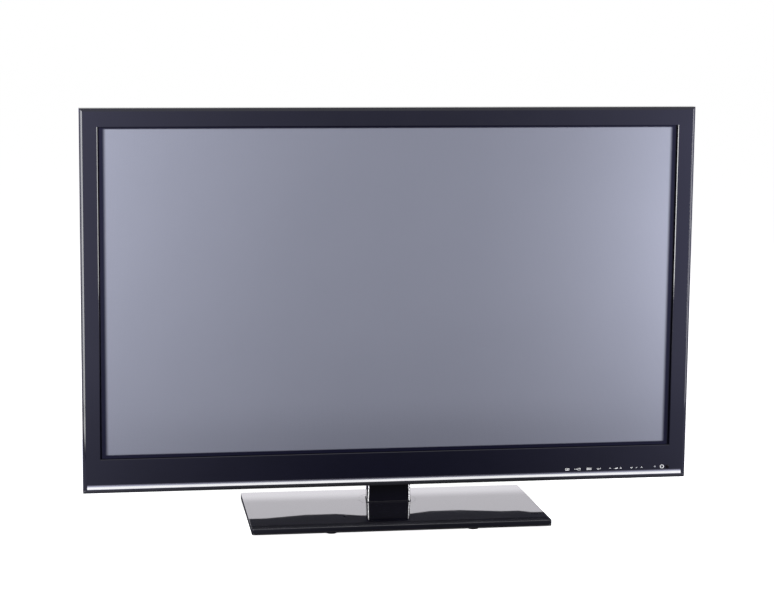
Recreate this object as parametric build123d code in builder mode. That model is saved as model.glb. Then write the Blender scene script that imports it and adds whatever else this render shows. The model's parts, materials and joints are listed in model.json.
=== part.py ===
from build123d import *
from math import cos, radians, sin
import os

# Flat plasma television on a table stand whose neck turns on the base.
# Millimetres, +X to the right of the viewer, +Y away from the viewer, +Z up.
# The origin is on the table, under the middle of the base.

# Set: overall size
set_w = 984.0
set_h = 610.0
set_d = 52.5
side_d = 40.0
wall_t = 2.4

# Base and neck
base_w = 475.0
base_back_w = 465.0
base_d = 236.0
base_reach = 135.0
base_corner_r = 4.0
base_edge_r = 0.4
base_top_t = 4.0
base_rim_t = 5.0
base_groove_z = 1.5
base_groove_h = 0.8
base_groove_depth = 0.8
base_lift = 2.3
plate_t = 4.5
plate_lift = 3.0
foot_pad_r = 9.0
foot_pad_inset = 34.0
foot_front_inset = 125.0
foot_front_gap = 2.0
foot_edge = 0.5
neck_gap = 30.5
neck_w = 73.2
neck_top_w = 71.2
neck_d = 37.4
neck_back_taper = 4.0
neck_lip = 0.9
neck_lip_t = 1.3
neck_setback = 12.6
neck_corner_r = 3.8
neck_wall_t = 2.0
neck_top_gap = 0.5
post_w = 52.0
post_d = 24.0
post_wall_t = 3.0
post_reach = 95.0
turn_r = 46.0
turn_t = 1.4
turn_cover_t = 1.2
bearing_inner_r = 20.0
bearing_inset = 3.0
spigot_r = 12.0
nut_r = 16.0
nut_t = 1.6

# Clearances
running_gap = 0.2
turn_gap = 0.3
spigot_gap = 0.05
slip_gap = 0.3
screw_gap = 0.05

# Bezel
side_band = 28.0
top_band = 29.4
foot_band = 54.9
bezel_d = 18.0
rim_bevel = 4.8
rim_tilt_in = 8.0
rim_tilt_out = 38.0
opening_bevel = 1.0
opening_bevel_d = 0.5
strip_inset = 6.5
strip_h = 7.4
strip_z = 6.2
strip_depth = 1.6
strip_sink = 0.9
strip_lip_t = 0.5
strip_tilt = 15.0
strip_edge_r = 0.2
mark_z = 17.9
sensor_inset = 30.0
sensor_r = 3.2

# Panel stack, front to back
gasket_t = 0.6
glass_t = 2.8
heat_sheet_t = 1.0
chassis_t = 2.0
glass_lap = 8.0
rear_glass_inset = 4.0
chassis_flange = 6.0
ear_size = 16.0
boss_r = 4.0
boss_offset = 7.0
panel_screw_r = 1.5
screw_head_r = 3.0
screw_head_t = 1.8
screw_bite = 5.0
side_boss_pitch = 204.0
top_boss_x = 300.0
foot_boss_x = 160.0

# Electronics
stand_off = 6.0
stand_off_r = 3.0
stand_off_inset = 5.0
board_t = 1.6
board_screw_r = 2.4
power_board_h = 190.0
power_board_rise = 126.0
rail_clearance = 15.0
control_board_w = 220.0
control_board_h = 120.0
control_board_drop = 54.0
sustain_y_w = 128.0
sustain_y_h = 290.0
sustain_y_inset = 166.0
sustain_y_rise = 71.0
sustain_z_w = 130.0
sustain_z_h = 180.0
sustain_z_inset = 147.0
sustain_z_rise = 126.0
scan_w = 40.0
scan_h = 140.0
scan_inset = 77.0
scan_rises = (146.0, -4.0)
main_board_w = 150.0
main_board_h = 220.0
main_board_rise = 15.0
address_h = 22.0
address_z = 73.0
address_start = 85.0
address_end_inset = 52.0
capacitor_r = 12.5
capacitor_h = 26.0
capacitor_edge_r = 1.25
transformer_w = 44.0
transformer_h = 36.0
transformer_d = 22.0
winding_w = 26.0
winding_d = 17.6
sink_depth = 14.0
sink_back_t = 2.5
fin_t = 1.4
fin_pitch = 5.0
power_sink_w = 90.0
power_sink_h = 60.0
sustain_sink_w = 60.0
sustain_sink_h = 150.0
sustain_sink_rise = 40.0
sustain_sink_shift = 16.0
second_sink_h = 110.0
second_sink_rise = 10.0
main_sink_w = 40.0
main_sink_h = 24.0
main_sink_shift = 30.0
main_sink_drop = 16.0
bar_gap = 2.0
bar_h = 14.0
flex_w = 26.0
flex_t = 0.3
flex_pitch = 42.0
flex_count = 8
ribbon_w = 25.0
ribbon_t = 0.6
ribbon_lift = 4.0
ribbon_inset = 8.0
ribbon_rise = 20.0

# Rear cover
cover_t = 1.8
cover_inset = 1.5
cover_rim_d = 14.0
cover_slope = 30.0
spine_margin = 25.0
spine_slope = 35.0
spine_top_inset = 63.0
spine_top_slope = 30.0
post_hole_r = 1.8
cover_post_r = 4.5
cover_screw_r = 1.6
cover_head_r = 3.2
cover_head_t = 1.6
cover_post_inset = 37.0
cover_post_low = 70.0
cover_post_high_inset = 63.0
cover_top_post_inset_x = 162.0
cover_top_post_inset_z = 33.0
vent_l = 18.0
vent_h = 2.6
vent_pitch_x = 24.0
vent_pitch_z = 7.0
vent_columns = 14
vent_rows = 3
vent_low_z = 170.0
vent_high_inset = 118.0
side_vent_inset_x = 122.0
side_vent_inset_z = 52.0
side_vent_columns = 7
side_vent_rows = 2
speaker_slot_w = 2.0
speaker_slot_pitch = 5.0
speaker_slots = 28
hatch_w = 134.0
hatch_margin = 3.0
notch_w = 2.6
notch_h = 3.0
shoulder_in = 34.0
shoulder_face_in = 78.0
shoulder_out = 205.0
shoulder_face_out = 130.0
shoulder_d = 15.0
shoulder_h = 78.0
shoulder_face_h = 58.0
shoulder_root = 2.0

# Wall mount and stand bracket
mount_pitch = 400.0
mount_bore_r = 3.0
mount_bore_depth = 14.0
insert_r = 8.0
rail_w = 30.0
rail_d = 21.4
rail_wall_t = 2.0
rail_margin = 16.0
bracket_flange_w = 150.0
bracket_flange_z = 48.0
bracket_flange_top = 150.0
bracket_wall_t = 3.7
bracket_z = 8.0
neck_bolt_r = 3.0
neck_bolt_head_r = 5.0
neck_bolt_head_t = 2.4
neck_bolt_pitch_x = 32.0
neck_bolt_pitch_z = 40.0

# Speakers
speaker_w = 150.0
speaker_h = 36.0
speaker_d = 16.0
speaker_inset = 182.0
speaker_seat = 2.0
cone_l = 90.0
cone_w = 12.0
cone_t = 1.2

# Keys on the underside, as distances from the set's right edge
key_insets = {
    "ratio_key": 198.6,
    "input_key": 181.7,
    "menu_key": 162.0,
    "enter_key": 145.5,
    "volume_down_key": 126.9,
    "volume_up_key": 108.6,
    "channel_down_key": 90.4,
    "channel_up_key": 73.4,
    "power_key": 39.7,
}
key_w = 11.0
key_d = 5.0
key_proud = 1.0
key_flange = 1.2
key_flange_t = 1.0
key_slot_gap = 0.35
key_setback = 8.5
key_travel = 0.8
key_edge_r = 0.5
switch_w = 6.0
switch_h = 3.5
plunger_r = 1.6
plunger_h = 1.0
key_board_t = 1.2
key_board_end = 9.0
sensor_board_h = 17.0
sensor_board_w = 40.0
sensor_stand = 1.6

# Terminals, placed from the edges of their pocket
terminal_inset = 127.0
terminal_z = 185.0
terminal_w = 130.0
terminal_h = 180.0
terminal_depth = 11.0
terminal_plate_t = 1.0
jack_r = 4.2
jack_bore_r = 1.6
jack_reach = 8.0
jack_edge = 23.0
jack_top = 20.0
jack_pitch = 20.0
jack_column_pitch = 26.0
jack_rows = (5, 3)
digital_edge = 31.0
display_drop = 32.0
hdmi_drops = (72.0, 94.0)
usb_drop = 118.0
aerial_edge = 35.0
aerial_rise = 32.0
hdmi_w = 15.0
hdmi_h = 6.2
socket_shell_t = 0.5
tongue_t = 1.1
display_w = 30.8
display_h = 12.5
display_plug_w = 16.0
display_plug_h = 8.0
display_nut_r = 2.5
display_nut_pitch = 24.8
usb_w = 13.2
usb_h = 5.8
aerial_r = 4.8
aerial_bore_r = 0.8
aerial_can_w = 44.0
aerial_can_h = 30.0

# Mains inlet
inlet_inset = 162.0
inlet_z = 140.0
inlet_w = 24.0
inlet_h = 16.0
inlet_wall = 2.0
inlet_flange = 3.0
inlet_flange_t = 2.0
inlet_depth = 16.5
pin_l = 11.8
pin_w = 2.0
pin_h = 4.0
pin_pitch = 7.0
pin_shift = 2.0

# Places worked out from the sizes above
base_front = -base_d / 2
front = base_front + base_reach
base_top = plate_lift + plate_t + base_top_t
foot = base_top + neck_gap
head = foot + set_h
middle = foot + set_h / 2
back = front + set_d
side_back = front + side_d
seam = front + bezel_d
neck_front = front + neck_setback
axis_y = neck_front + neck_d / 2
plate_top = plate_lift + plate_t
turn_z = base_top - turn_cover_t - turn_t
bearing_t = turn_z - running_gap - plate_top
opening_w = set_w - 2 * side_band
opening_h = set_h - foot_band - top_band
opening_mid = foot + foot_band + opening_h / 2
strip_w = set_w - 2 * strip_inset
rim_r = rim_bevel / (sin(radians(rim_tilt_out)) - sin(radians(rim_tilt_in)))
strip_r = (strip_h - strip_lip_t) / sin(radians(strip_tilt))
sensor_x = set_w / 2 - sensor_inset
spine_w = mount_pitch + 2 * spine_margin
spine_top = set_h - spine_top_inset
speaker_x = set_w / 2 - speaker_inset
terminal_x = terminal_inset - set_w / 2
inlet_x = set_w / 2 - inlet_inset
key_places = {name: set_w / 2 - inset for name, inset in key_insets.items()}
glass_w = opening_w + 2 * glass_lap
glass_h = opening_h + 2 * glass_lap
glass_y = front + wall_t + gasket_t
rear_glass_y = glass_y + glass_t
heat_sheet_y = rear_glass_y + glass_t
chassis_y = heat_sheet_y + heat_sheet_t
chassis_back = chassis_y + chassis_t
board_y = chassis_back + stand_off
board_back = board_y + board_t
cover_inner = side_back - cover_t
plate_back = side_back - terminal_depth
post_z = turn_z + turn_t
bracket_d = post_d + 2 * (slip_gap + bracket_wall_t)
bracket_front = axis_y - bracket_d / 2
bracket_back = axis_y + bracket_d / 2
bracket_w = post_w + 2 * (slip_gap + bracket_wall_t)
bracket_top = foot + post_reach + bracket_wall_t
cover_bottom = foot + cover_inset
neck_top = foot - neck_top_gap
key_y = front + key_setback
key_floor = foot + wall_t
switch_foot = key_floor + running_gap + key_flange_t + key_travel + turn_gap
key_board_z = switch_foot + plunger_h + switch_h
key_board_x0 = min(key_places.values()) - key_board_end
key_board_x1 = max(key_places.values()) + key_board_end
mount_x = mount_pitch / 2

# Boards: centre X, centre height above the set's foot, width, height
half_h = set_h / 2
power_board_w = mount_pitch - rail_w - 2 * rail_clearance
sustain_y_x = set_w / 2 - sustain_y_inset
sustain_z_x = sustain_z_inset - set_w / 2
scan_x = set_w / 2 - scan_inset
address_w = set_w / 2 - address_end_inset - address_start
address_x = address_start + address_w / 2
boards = {
    "power_board": [(0, half_h + power_board_rise, power_board_w, power_board_h)],
    "control_board": [(0, half_h - control_board_drop, control_board_w, control_board_h)],
    "sustain_board_y": [(sustain_y_x, half_h + sustain_y_rise, sustain_y_w, sustain_y_h)],
    "sustain_board_z": [(sustain_z_x, half_h + sustain_z_rise, sustain_z_w, sustain_z_h)],
    "scan_boards": [(scan_x, half_h + rise, scan_w, scan_h) for rise in scan_rises],
    "main_board": [(terminal_x, terminal_z + main_board_rise, main_board_w, main_board_h)],
    "address_boards": [(side * address_x, address_z, address_w, address_h) for side in (-1, 1)],
}


def upright(y):
    """Sketch plane that faces the viewer at depth y."""
    return Plane.XZ.offset(-y)


def level(z):
    """Level sketch plane at height z."""
    return Plane.XY.offset(z)


def keep(piece, name):
    """Label a finished piece and write its file."""
    piece.part.label = name
    export_step(piece.part, "parts/" + name + ".step")


def board_corners(board):
    """Fixing points of one board, as X and Z in the model."""
    x, z, w, h = board
    dx = w / 2 - stand_off_inset
    dz = h / 2 - stand_off_inset
    return [(x + sx * dx, foot + z + sz * dz) for sx in (-1, 1) for sz in (-1, 1)]


def panel_screw_points():
    """Places where the chassis ears are screwed to the bezel."""
    side_x = glass_w / 2 + boss_offset
    points = [
        (side * side_x, middle + step * side_boss_pitch)
        for side in (-1, 1)
        for step in (-1, 0, 1)
    ]
    top_z = opening_mid + glass_h / 2 + boss_offset
    low_z = opening_mid - glass_h / 2 - boss_offset
    points += [(side * top_boss_x, top_z) for side in (-1, 1)]
    points += [(side * foot_boss_x, low_z) for side in (-1, 1)]
    return points


def cover_screw_points():
    """Places of the rear cover's screw posts."""
    side_x = set_w / 2 - cover_post_inset
    heights = (foot + cover_post_low, middle, head - cover_post_high_inset)
    points = [(side * side_x, z) for side in (-1, 1) for z in heights]
    top_x = set_w / 2 - cover_top_post_inset_x
    points += [(side * top_x, head - cover_top_post_inset_z) for side in (-1, 1)]
    return points


def rim_point(tilt):
    """Point of the rim's curve where it leans by tilt, as inset and depth."""
    inset = rim_r * (sin(radians(rim_tilt_out)) - sin(radians(tilt)))
    depth = rim_r * (cos(radians(rim_tilt_in)) - cos(radians(tilt)))
    return (inset, depth)


def rim_cutter(length):
    """Bar that is cut from one front edge and leaves the rim's curve."""
    start = rim_point(rim_tilt_out)
    end = rim_point(rim_tilt_in)
    half_way = rim_point((rim_tilt_in + rim_tilt_out) / 2)
    with BuildPart() as bar:
        with BuildSketch(Plane.XY.offset(-length / 2)):
            with BuildLine():
                ThreePointArc(start, half_way, end)
                Polyline(end, (end[0], -wall_t), (-wall_t, -wall_t), (-wall_t, start[1]), start)
            make_face()
        extrude(amount=length)
    return bar.part


def base_outline(margin):
    """Base's outline inside a margin: a little narrower at the back, with round corners."""
    front_half = base_w / 2 - margin
    back_half = base_back_w / 2 - margin
    deep = base_d / 2 - margin
    corners = ((-front_half, -deep), (front_half, -deep), (back_half, deep), (-back_half, deep))
    with BuildSketch() as outline:
        Polygon(*corners, align=None)
        fillet(outline.vertices(), base_corner_r)
    return outline.sketch


def neck_outline(half, margin):
    """Neck's outline inside a margin: sides that draw in towards the back."""
    wide = half - margin
    narrow = wide - neck_back_taper
    near = neck_front + margin
    far = neck_front + neck_d - margin
    with BuildSketch() as outline:
        Polygon((-wide, near), (wide, near), (narrow, far), (-narrow, far), align=None)
        fillet(outline.vertices(), neck_corner_r - margin)
    return outline.sketch


def neck_body(margin):
    """Neck's form inside a margin, narrower at the top."""
    with BuildPart() as body:
        with BuildSketch(level(base_top)):
            add(neck_outline(neck_w / 2, margin))
        with BuildSketch(level(neck_top)):
            add(neck_outline(neck_top_w / 2, margin))
        loft(ruled=True)
    return body.part


def strip_point(tilt):
    """Point of the strip's hollow where it leans by tilt, as Y and Z in the model."""
    y = front + strip_sink - strip_r * (1 - cos(radians(tilt)))
    z = foot + strip_z + strip_h - strip_r * sin(radians(tilt))
    return (y, z)


def cover_body(shrink, open_y):
    """Outer form of the rear cover, or its inside when shrink is the wall."""
    rim_y = seam + cover_rim_d
    low = cover_bottom + shrink
    high = head - cover_inset - shrink
    half = set_w / 2 - cover_inset - shrink
    face_y = side_back - shrink
    with BuildPart() as body:
        with BuildSketch(upright(open_y)):
            with Locations((0, (low + high) / 2)):
                Rectangle(2 * half, high - low)
        extrude(amount=-(rim_y - open_y))
        with BuildSketch(upright(rim_y)):
            with Locations((0, (low + high) / 2)):
                Rectangle(2 * half, high - low)
        slope_high = high - cover_slope
        with BuildSketch(upright(face_y)):
            with Locations((0, (low + slope_high) / 2)):
                Rectangle(2 * (half - cover_slope), slope_high - low)
        loft(ruled=True)
        spine_root = rim_y - cover_t
        top_wide = foot + spine_top + spine_top_slope - shrink
        top_narrow = foot + spine_top - shrink
        with BuildSketch(upright(spine_root)):
            with Locations((0, (low + top_wide) / 2)):
                Rectangle(spine_w + 2 * spine_slope - 2 * shrink, top_wide - low)
        with BuildSketch(upright(back - shrink)):
            with Locations((0, (low + top_narrow) / 2)):
                Rectangle(spine_w - 2 * shrink, top_narrow - low)
        loft(ruled=True)
        root_high = foot + shoulder_h - shrink
        face_high = foot + shoulder_face_h - shrink
        root_w = shoulder_out - shoulder_in - 2 * shrink
        face_w = shoulder_face_out - shoulder_face_in - 2 * shrink
        for side in (-1, 1):
            root_x = side * (shoulder_out + shoulder_in) / 2
            shoulder_x = side * (shoulder_face_out + shoulder_face_in) / 2
            with BuildSketch(upright(back - shrink - shoulder_root)):
                with Locations((root_x, (low + root_high) / 2)):
                    Rectangle(root_w, root_high - low)
            with BuildSketch(upright(back + shoulder_d - shrink)):
                with Locations((shoulder_x, (low + face_high) / 2)):
                    Rectangle(face_w, face_high - low)
            loft(ruled=True)
    return body.part


os.makedirs("parts", exist_ok=True)

# Places of the rubber feet: four near the corners and two under the front edge
foot_x = base_w / 2 - foot_pad_inset
foot_y = base_d / 2 - foot_pad_inset
front_foot_x = base_w / 2 - foot_front_inset
front_foot_y = base_front + foot_front_gap + foot_pad_r
front_foot_points = [(sx * front_foot_x, front_foot_y) for sx in (-1, 1)]
foot_points = [(sx * foot_x, sy * foot_y) for sx in (-1, 1) for sy in (-1, 1)]
foot_points += front_foot_points

# Base cover, with a round window for the turntable and seats for the front feet
with BuildPart() as base_cover:
    with BuildSketch(level(base_lift)):
        add(base_outline(0))
    extrude(amount=base_top - base_lift)
    top_edges = base_cover.faces().sort_by(Axis.Z)[-1].edges()
    fillet(top_edges, radius=base_edge_r)
    with BuildSketch(level(base_lift + base_groove_z)):
        add(base_outline(0))
        add(base_outline(base_groove_depth), mode=Mode.SUBTRACT)
    extrude(amount=base_groove_h, mode=Mode.SUBTRACT)
    with BuildSketch(level(base_lift)):
        add(base_outline(base_rim_t))
    extrude(amount=plate_top - base_lift, mode=Mode.SUBTRACT)
    with BuildSketch(level(base_lift)):
        with Locations((0, axis_y)):
            Circle(turn_r + turn_gap)
    extrude(amount=base_top - base_lift, mode=Mode.SUBTRACT)
    with BuildSketch(level(base_lift)):
        with Locations(*front_foot_points):
            Circle(foot_pad_r + slip_gap)
    extrude(amount=plate_lift - base_lift, mode=Mode.SUBTRACT)
keep(base_cover, "base_cover")

# Steel plate that weighs the base down
with BuildPart() as base_plate:
    with BuildSketch(level(plate_lift)):
        add(base_outline(base_rim_t + slip_gap))
        with Locations((0, axis_y)):
            Circle(spigot_r + spigot_gap, mode=Mode.SUBTRACT)
    extrude(amount=plate_t)
keep(base_plate, "base_plate")

# Rubber feet
with BuildPart() as base_feet:
    with BuildSketch(level(0)):
        with Locations(*foot_points):
            Circle(foot_pad_r)
    extrude(amount=plate_lift)
    foot_faces = base_feet.faces().filter_by(Plane.XY).group_by(Axis.Z)[0]
    chamfer(foot_faces.edges(), length=foot_edge)
keep(base_feet, "base_feet")

# Screws that hold the plate to the cover from below
base_screw_points = [(sx * foot_x / 2, sy * foot_y) for sx in (-1, 1) for sy in (-1, 1)]
with BuildPart() as base_screws:
    with BuildSketch(level(plate_lift - screw_head_t)):
        with Locations(*base_screw_points):
            Circle(screw_head_r)
    extrude(amount=screw_head_t)
keep(base_screws, "base_screws")

# Low friction ring under the turntable
with BuildPart() as bearing_ring:
    with BuildSketch(level(plate_top)):
        with Locations((0, axis_y)):
            Circle(turn_r - bearing_inset)
            Circle(bearing_inner_r, mode=Mode.SUBTRACT)
    extrude(amount=bearing_t)
keep(bearing_ring, "bearing_ring")

# Turntable with its spigot through the plate
with BuildPart() as turntable:
    with BuildSketch(level(turn_z)):
        with Locations((0, axis_y)):
            Circle(turn_r)
    extrude(amount=turn_t)
    with BuildSketch(level(turn_z)):
        with Locations((0, axis_y)):
            Circle(spigot_r)
    extrude(amount=-(turn_z - plate_lift + running_gap))
keep(turntable, "turntable")

# Nut that keeps the spigot in the plate
with BuildPart() as swivel_nut:
    with BuildSketch(level(plate_lift - running_gap)):
        with Locations((0, axis_y)):
            Circle(nut_r)
    extrude(amount=-nut_t)
keep(swivel_nut, "swivel_nut")

# Gloss disc flush with the base, with a hole for the post
with BuildPart() as turntable_cover:
    with BuildSketch(level(post_z)):
        with Locations((0, axis_y)):
            Circle(turn_r)
            Rectangle(post_w + 2 * slip_gap, post_d + 2 * slip_gap, mode=Mode.SUBTRACT)
    extrude(amount=turn_cover_t)
keep(turntable_cover, "turntable_cover")

# Neck bolts: two columns of two
bolt_z = foot + bracket_z + post_reach / 2
bolt_points = [
    (sx * neck_bolt_pitch_x / 2, bolt_z + sz * neck_bolt_pitch_z / 2)
    for sx in (-1, 1)
    for sz in (-1, 1)
]

# Steel post, a box section that runs up into the set
with BuildPart() as neck_post:
    with BuildSketch(level(post_z)):
        with Locations((0, axis_y)):
            Rectangle(post_w, post_d)
            inner_w = post_w - 2 * post_wall_t
            inner_d = post_d - 2 * post_wall_t
            Rectangle(inner_w, inner_d, mode=Mode.SUBTRACT)
    extrude(amount=foot + post_reach - post_z)
    with BuildSketch(upright(bracket_back)):
        with Locations(*bolt_points):
            Circle(neck_bolt_r + screw_gap)
    extrude(amount=bracket_back - axis_y, mode=Mode.SUBTRACT)
keep(neck_post, "neck_post")

# Neck covers: two gloss shells that meet beside the post, on a thin lip
neck_halves = {}
for half_name, kept_side in (("neck_front_cover", Keep.TOP), ("neck_rear_cover", Keep.BOTTOM)):
    with BuildPart() as neck_half:
        add(neck_body(0))
        with BuildSketch(level(base_top)):
            add(neck_outline(neck_w / 2, -neck_lip))
        extrude(amount=neck_lip_t)
        add(neck_body(neck_wall_t), mode=Mode.SUBTRACT)
        split(bisect_by=Plane.XZ.offset(-axis_y), keep=kept_side)
    neck_halves[half_name] = neck_half
keep(neck_halves["neck_front_cover"], "neck_front_cover")
keep(neck_halves["neck_rear_cover"], "neck_rear_cover")

# Bracket in the set: a sleeve round the post on a flange against the chassis
with BuildPart() as stand_bracket:
    with BuildSketch(upright(bracket_front)):
        flange_h = bracket_flange_top - bracket_flange_z
        with Locations((0, foot + bracket_flange_z + flange_h / 2)):
            Rectangle(bracket_flange_w, flange_h)
    extrude(amount=bracket_front - chassis_back)
    with BuildSketch(level(foot + bracket_z)):
        with Locations((0, axis_y)):
            Rectangle(bracket_w, bracket_d)
    extrude(amount=bracket_top - foot - bracket_z)
    with BuildSketch(level(foot + bracket_z)):
        with Locations((0, axis_y)):
            Rectangle(post_w + 2 * slip_gap, post_d + 2 * slip_gap)
    extrude(amount=post_reach - bracket_z + slip_gap, mode=Mode.SUBTRACT)
    with BuildSketch(upright(bracket_back)):
        with Locations(*bolt_points):
            Circle(neck_bolt_r + screw_gap)
    extrude(amount=bracket_back - axis_y, mode=Mode.SUBTRACT)
keep(stand_bracket, "stand_bracket")

with BuildPart() as neck_bolts:
    with BuildSketch(upright(bracket_back)):
        with Locations(*bolt_points):
            Circle(neck_bolt_head_r)
    extrude(amount=-neck_bolt_head_t)
    with BuildSketch(upright(bracket_back)):
        with Locations(*bolt_points):
            Circle(neck_bolt_r)
    extrude(amount=bracket_wall_t + slip_gap + post_wall_t)
keep(neck_bolts, "neck_bolts")

# Bezel: a face with the screen opening, skirts, bosses, strip groove and key slots
skirt_w = set_w - 2 * wall_t
skirt_h = set_h - 2 * wall_t
key_points = [(x, key_y) for x in key_places.values()]
with BuildPart() as front_bezel:
    with BuildSketch(upright(front)):
        with Locations((0, middle)):
            Rectangle(set_w, set_h)
    extrude(amount=-bezel_d)
    tall_bar = rim_cutter(set_h + 2 * wall_t)
    wide_bar = rim_cutter(set_w + 2 * wall_t)
    add(tall_bar.moved(Location((-set_w / 2, front, middle))), mode=Mode.SUBTRACT)
    add(tall_bar.moved(Location((set_w / 2, front, middle), (0, 180, 0))), mode=Mode.SUBTRACT)
    add(wide_bar.moved(Location((0, front, head), (0, 90, 0))), mode=Mode.SUBTRACT)
    add(wide_bar.moved(Location((0, front, foot), (0, -90, 0))), mode=Mode.SUBTRACT)
    with BuildSketch(upright(front + wall_t)):
        with Locations((0, middle)):
            Rectangle(skirt_w, skirt_h)
    extrude(amount=-bezel_d, mode=Mode.SUBTRACT)
    with BuildSketch(upright(front)):
        with Locations((0, opening_mid)):
            Rectangle(opening_w, opening_h)
    extrude(amount=-wall_t, mode=Mode.SUBTRACT)
    face = front_bezel.faces().sort_by(Axis.Y)[0]
    hole_edges = face.inner_wires()[0].edges()
    chamfer(hole_edges, length=opening_bevel, length2=opening_bevel_d, reference=face)
    with BuildSketch(upright(front)):
        with Locations((0, foot + strip_z + strip_h / 2)):
            Rectangle(strip_w, strip_h)
    extrude(amount=-strip_depth, mode=Mode.SUBTRACT)
    with BuildSketch(upright(front + wall_t)):
        with Locations(*panel_screw_points()):
            Circle(boss_r)
    extrude(amount=-(chassis_y - front - wall_t))
    with BuildSketch(upright(chassis_y)):
        with Locations(*panel_screw_points()):
            Circle(panel_screw_r + screw_gap)
    extrude(amount=screw_bite, mode=Mode.SUBTRACT)
    with BuildSketch(level(foot)):
        with Locations(*key_points):
            Rectangle(key_w + 2 * key_slot_gap, key_d + 2 * key_slot_gap)
    extrude(amount=wall_t, mode=Mode.SUBTRACT)
    with BuildSketch(upright(front)):
        with Locations((sensor_x, foot + mark_z)):
            Circle(sensor_r)
    extrude(amount=-wall_t, mode=Mode.SUBTRACT)
keep(front_bezel, "front_bezel")

# Bright strip in its groove: hollow in front, with a lip along its foot
strip_head = strip_point(0)
strip_lip = strip_point(strip_tilt)
strip_back = front + strip_depth
strip_foot_z = foot + strip_z
with BuildPart() as metal_strip:
    with BuildSketch(Plane.YZ.offset(-strip_w / 2)):
        with BuildLine():
            ThreePointArc(strip_head, strip_point(strip_tilt / 2), strip_lip)
            Polyline(
                strip_lip,
                (strip_lip[0], strip_foot_z),
                (strip_back, strip_foot_z),
                (strip_back, strip_head[1]),
                strip_head,
            )
        make_face()
    extrude(amount=strip_w)
    fillet(metal_strip.edges().filter_by(Axis.X).sort_by(Axis.Y)[:2], strip_edge_r)
keep(metal_strip, "metal_strip")

# Soft gasket between bezel and glass
with BuildPart() as screen_gasket:
    with BuildSketch(upright(front + wall_t)):
        with Locations((0, opening_mid)):
            Rectangle(glass_w, glass_h)
            Rectangle(opening_w, opening_h, mode=Mode.SUBTRACT)
    extrude(amount=-gasket_t)
keep(screen_gasket, "screen_gasket")

# Plasma panel: front glass, rear glass and the sheet that carries heat to the chassis
with BuildPart() as front_glass:
    with BuildSketch(upright(glass_y)):
        with Locations((0, opening_mid)):
            Rectangle(glass_w, glass_h)
    extrude(amount=-glass_t)
keep(front_glass, "front_glass")

with BuildPart() as rear_glass:
    with BuildSketch(upright(rear_glass_y)):
        with Locations((0, opening_mid)):
            Rectangle(glass_w - 2 * rear_glass_inset, glass_h)
    extrude(amount=-glass_t)
keep(rear_glass, "rear_glass")

with BuildPart() as heat_sheet:
    with BuildSketch(upright(heat_sheet_y)):
        with Locations((0, opening_mid)):
            Rectangle(glass_w - 2 * glass_lap, glass_h - 2 * glass_lap)
    extrude(amount=-heat_sheet_t)
keep(heat_sheet, "heat_sheet")

# Chassis: plate with side flanges, ears for the panel screws and board stand-offs
all_boards = [board for group in boards.values() for board in group]
all_corners = [point for board in all_boards for point in board_corners(board)]
with BuildPart() as chassis:
    with BuildSketch(upright(chassis_y)):
        with Locations((0, opening_mid)):
            Rectangle(glass_w, glass_h)
        with Locations(*panel_screw_points()):
            Rectangle(ear_size, ear_size)
            Circle(panel_screw_r + screw_gap, mode=Mode.SUBTRACT)
    extrude(amount=-chassis_t)
    with BuildSketch(upright(chassis_back)):
        flange_x = glass_w / 2 - chassis_t / 2
        with Locations((-flange_x, opening_mid), (flange_x, opening_mid)):
            Rectangle(chassis_t, glass_h)
    extrude(amount=-chassis_flange)
    with BuildSketch(upright(chassis_back)):
        with Locations(*panel_screw_points()):
            Circle(screw_head_r + slip_gap)
    extrude(amount=-chassis_flange, mode=Mode.SUBTRACT)
    with BuildSketch(upright(chassis_back)):
        with Locations(*all_corners):
            Circle(stand_off_r)
    extrude(amount=-stand_off)
keep(chassis, "chassis")

# Screws of the panel and of the boards
with BuildPart() as inner_screws:
    with BuildSketch(upright(chassis_back)):
        with Locations(*panel_screw_points()):
            Circle(screw_head_r)
    extrude(amount=-screw_head_t)
    with BuildSketch(upright(chassis_back)):
        with Locations(*panel_screw_points()):
            Circle(panel_screw_r)
    extrude(amount=chassis_t + screw_bite - slip_gap)
    with BuildSketch(upright(board_back)):
        with Locations(*all_corners):
            Circle(board_screw_r)
    extrude(amount=-screw_head_t)
keep(inner_screws, "inner_screws")

# Boards
for board_name, group in boards.items():
    with BuildPart() as board_part:
        with BuildSketch(upright(board_y)):
            for x, z, w, h in group:
                with Locations((x, foot + z)):
                    Rectangle(w, h)
        extrude(amount=-board_t)
    keep(board_part, board_name)

# Electrolytic capacitors of the power board
psu_x, psu_z, psu_w, psu_h = boards["power_board"][0]
with BuildPart() as power_capacitors:
    with BuildSketch(upright(board_back)):
        with Locations((psu_x - psu_w / 4, foot + psu_z + psu_h / 4)):
            with GridLocations(2.4 * capacitor_r, 2.4 * capacitor_r, 2, 2):
                Circle(capacitor_r)
    extrude(amount=-capacitor_h)
    fillet(power_capacitors.faces().sort_by(Axis.Y)[-4:].edges(), capacitor_edge_r)
keep(power_capacitors, "power_capacitors")

# Transformers: a wide core with a winding that stands out at each end
with BuildPart() as power_transformers:
    transformer_rise = foot + psu_z - psu_h / 4
    with Locations((psu_x, board_back + transformer_d / 2, transformer_rise)):
        with GridLocations(1.9 * transformer_w, 0, 3, 1):
            Box(transformer_w, transformer_d, transformer_h / 2)
            Box(winding_w, winding_d, transformer_h)
keep(power_transformers, "power_transformers")

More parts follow.
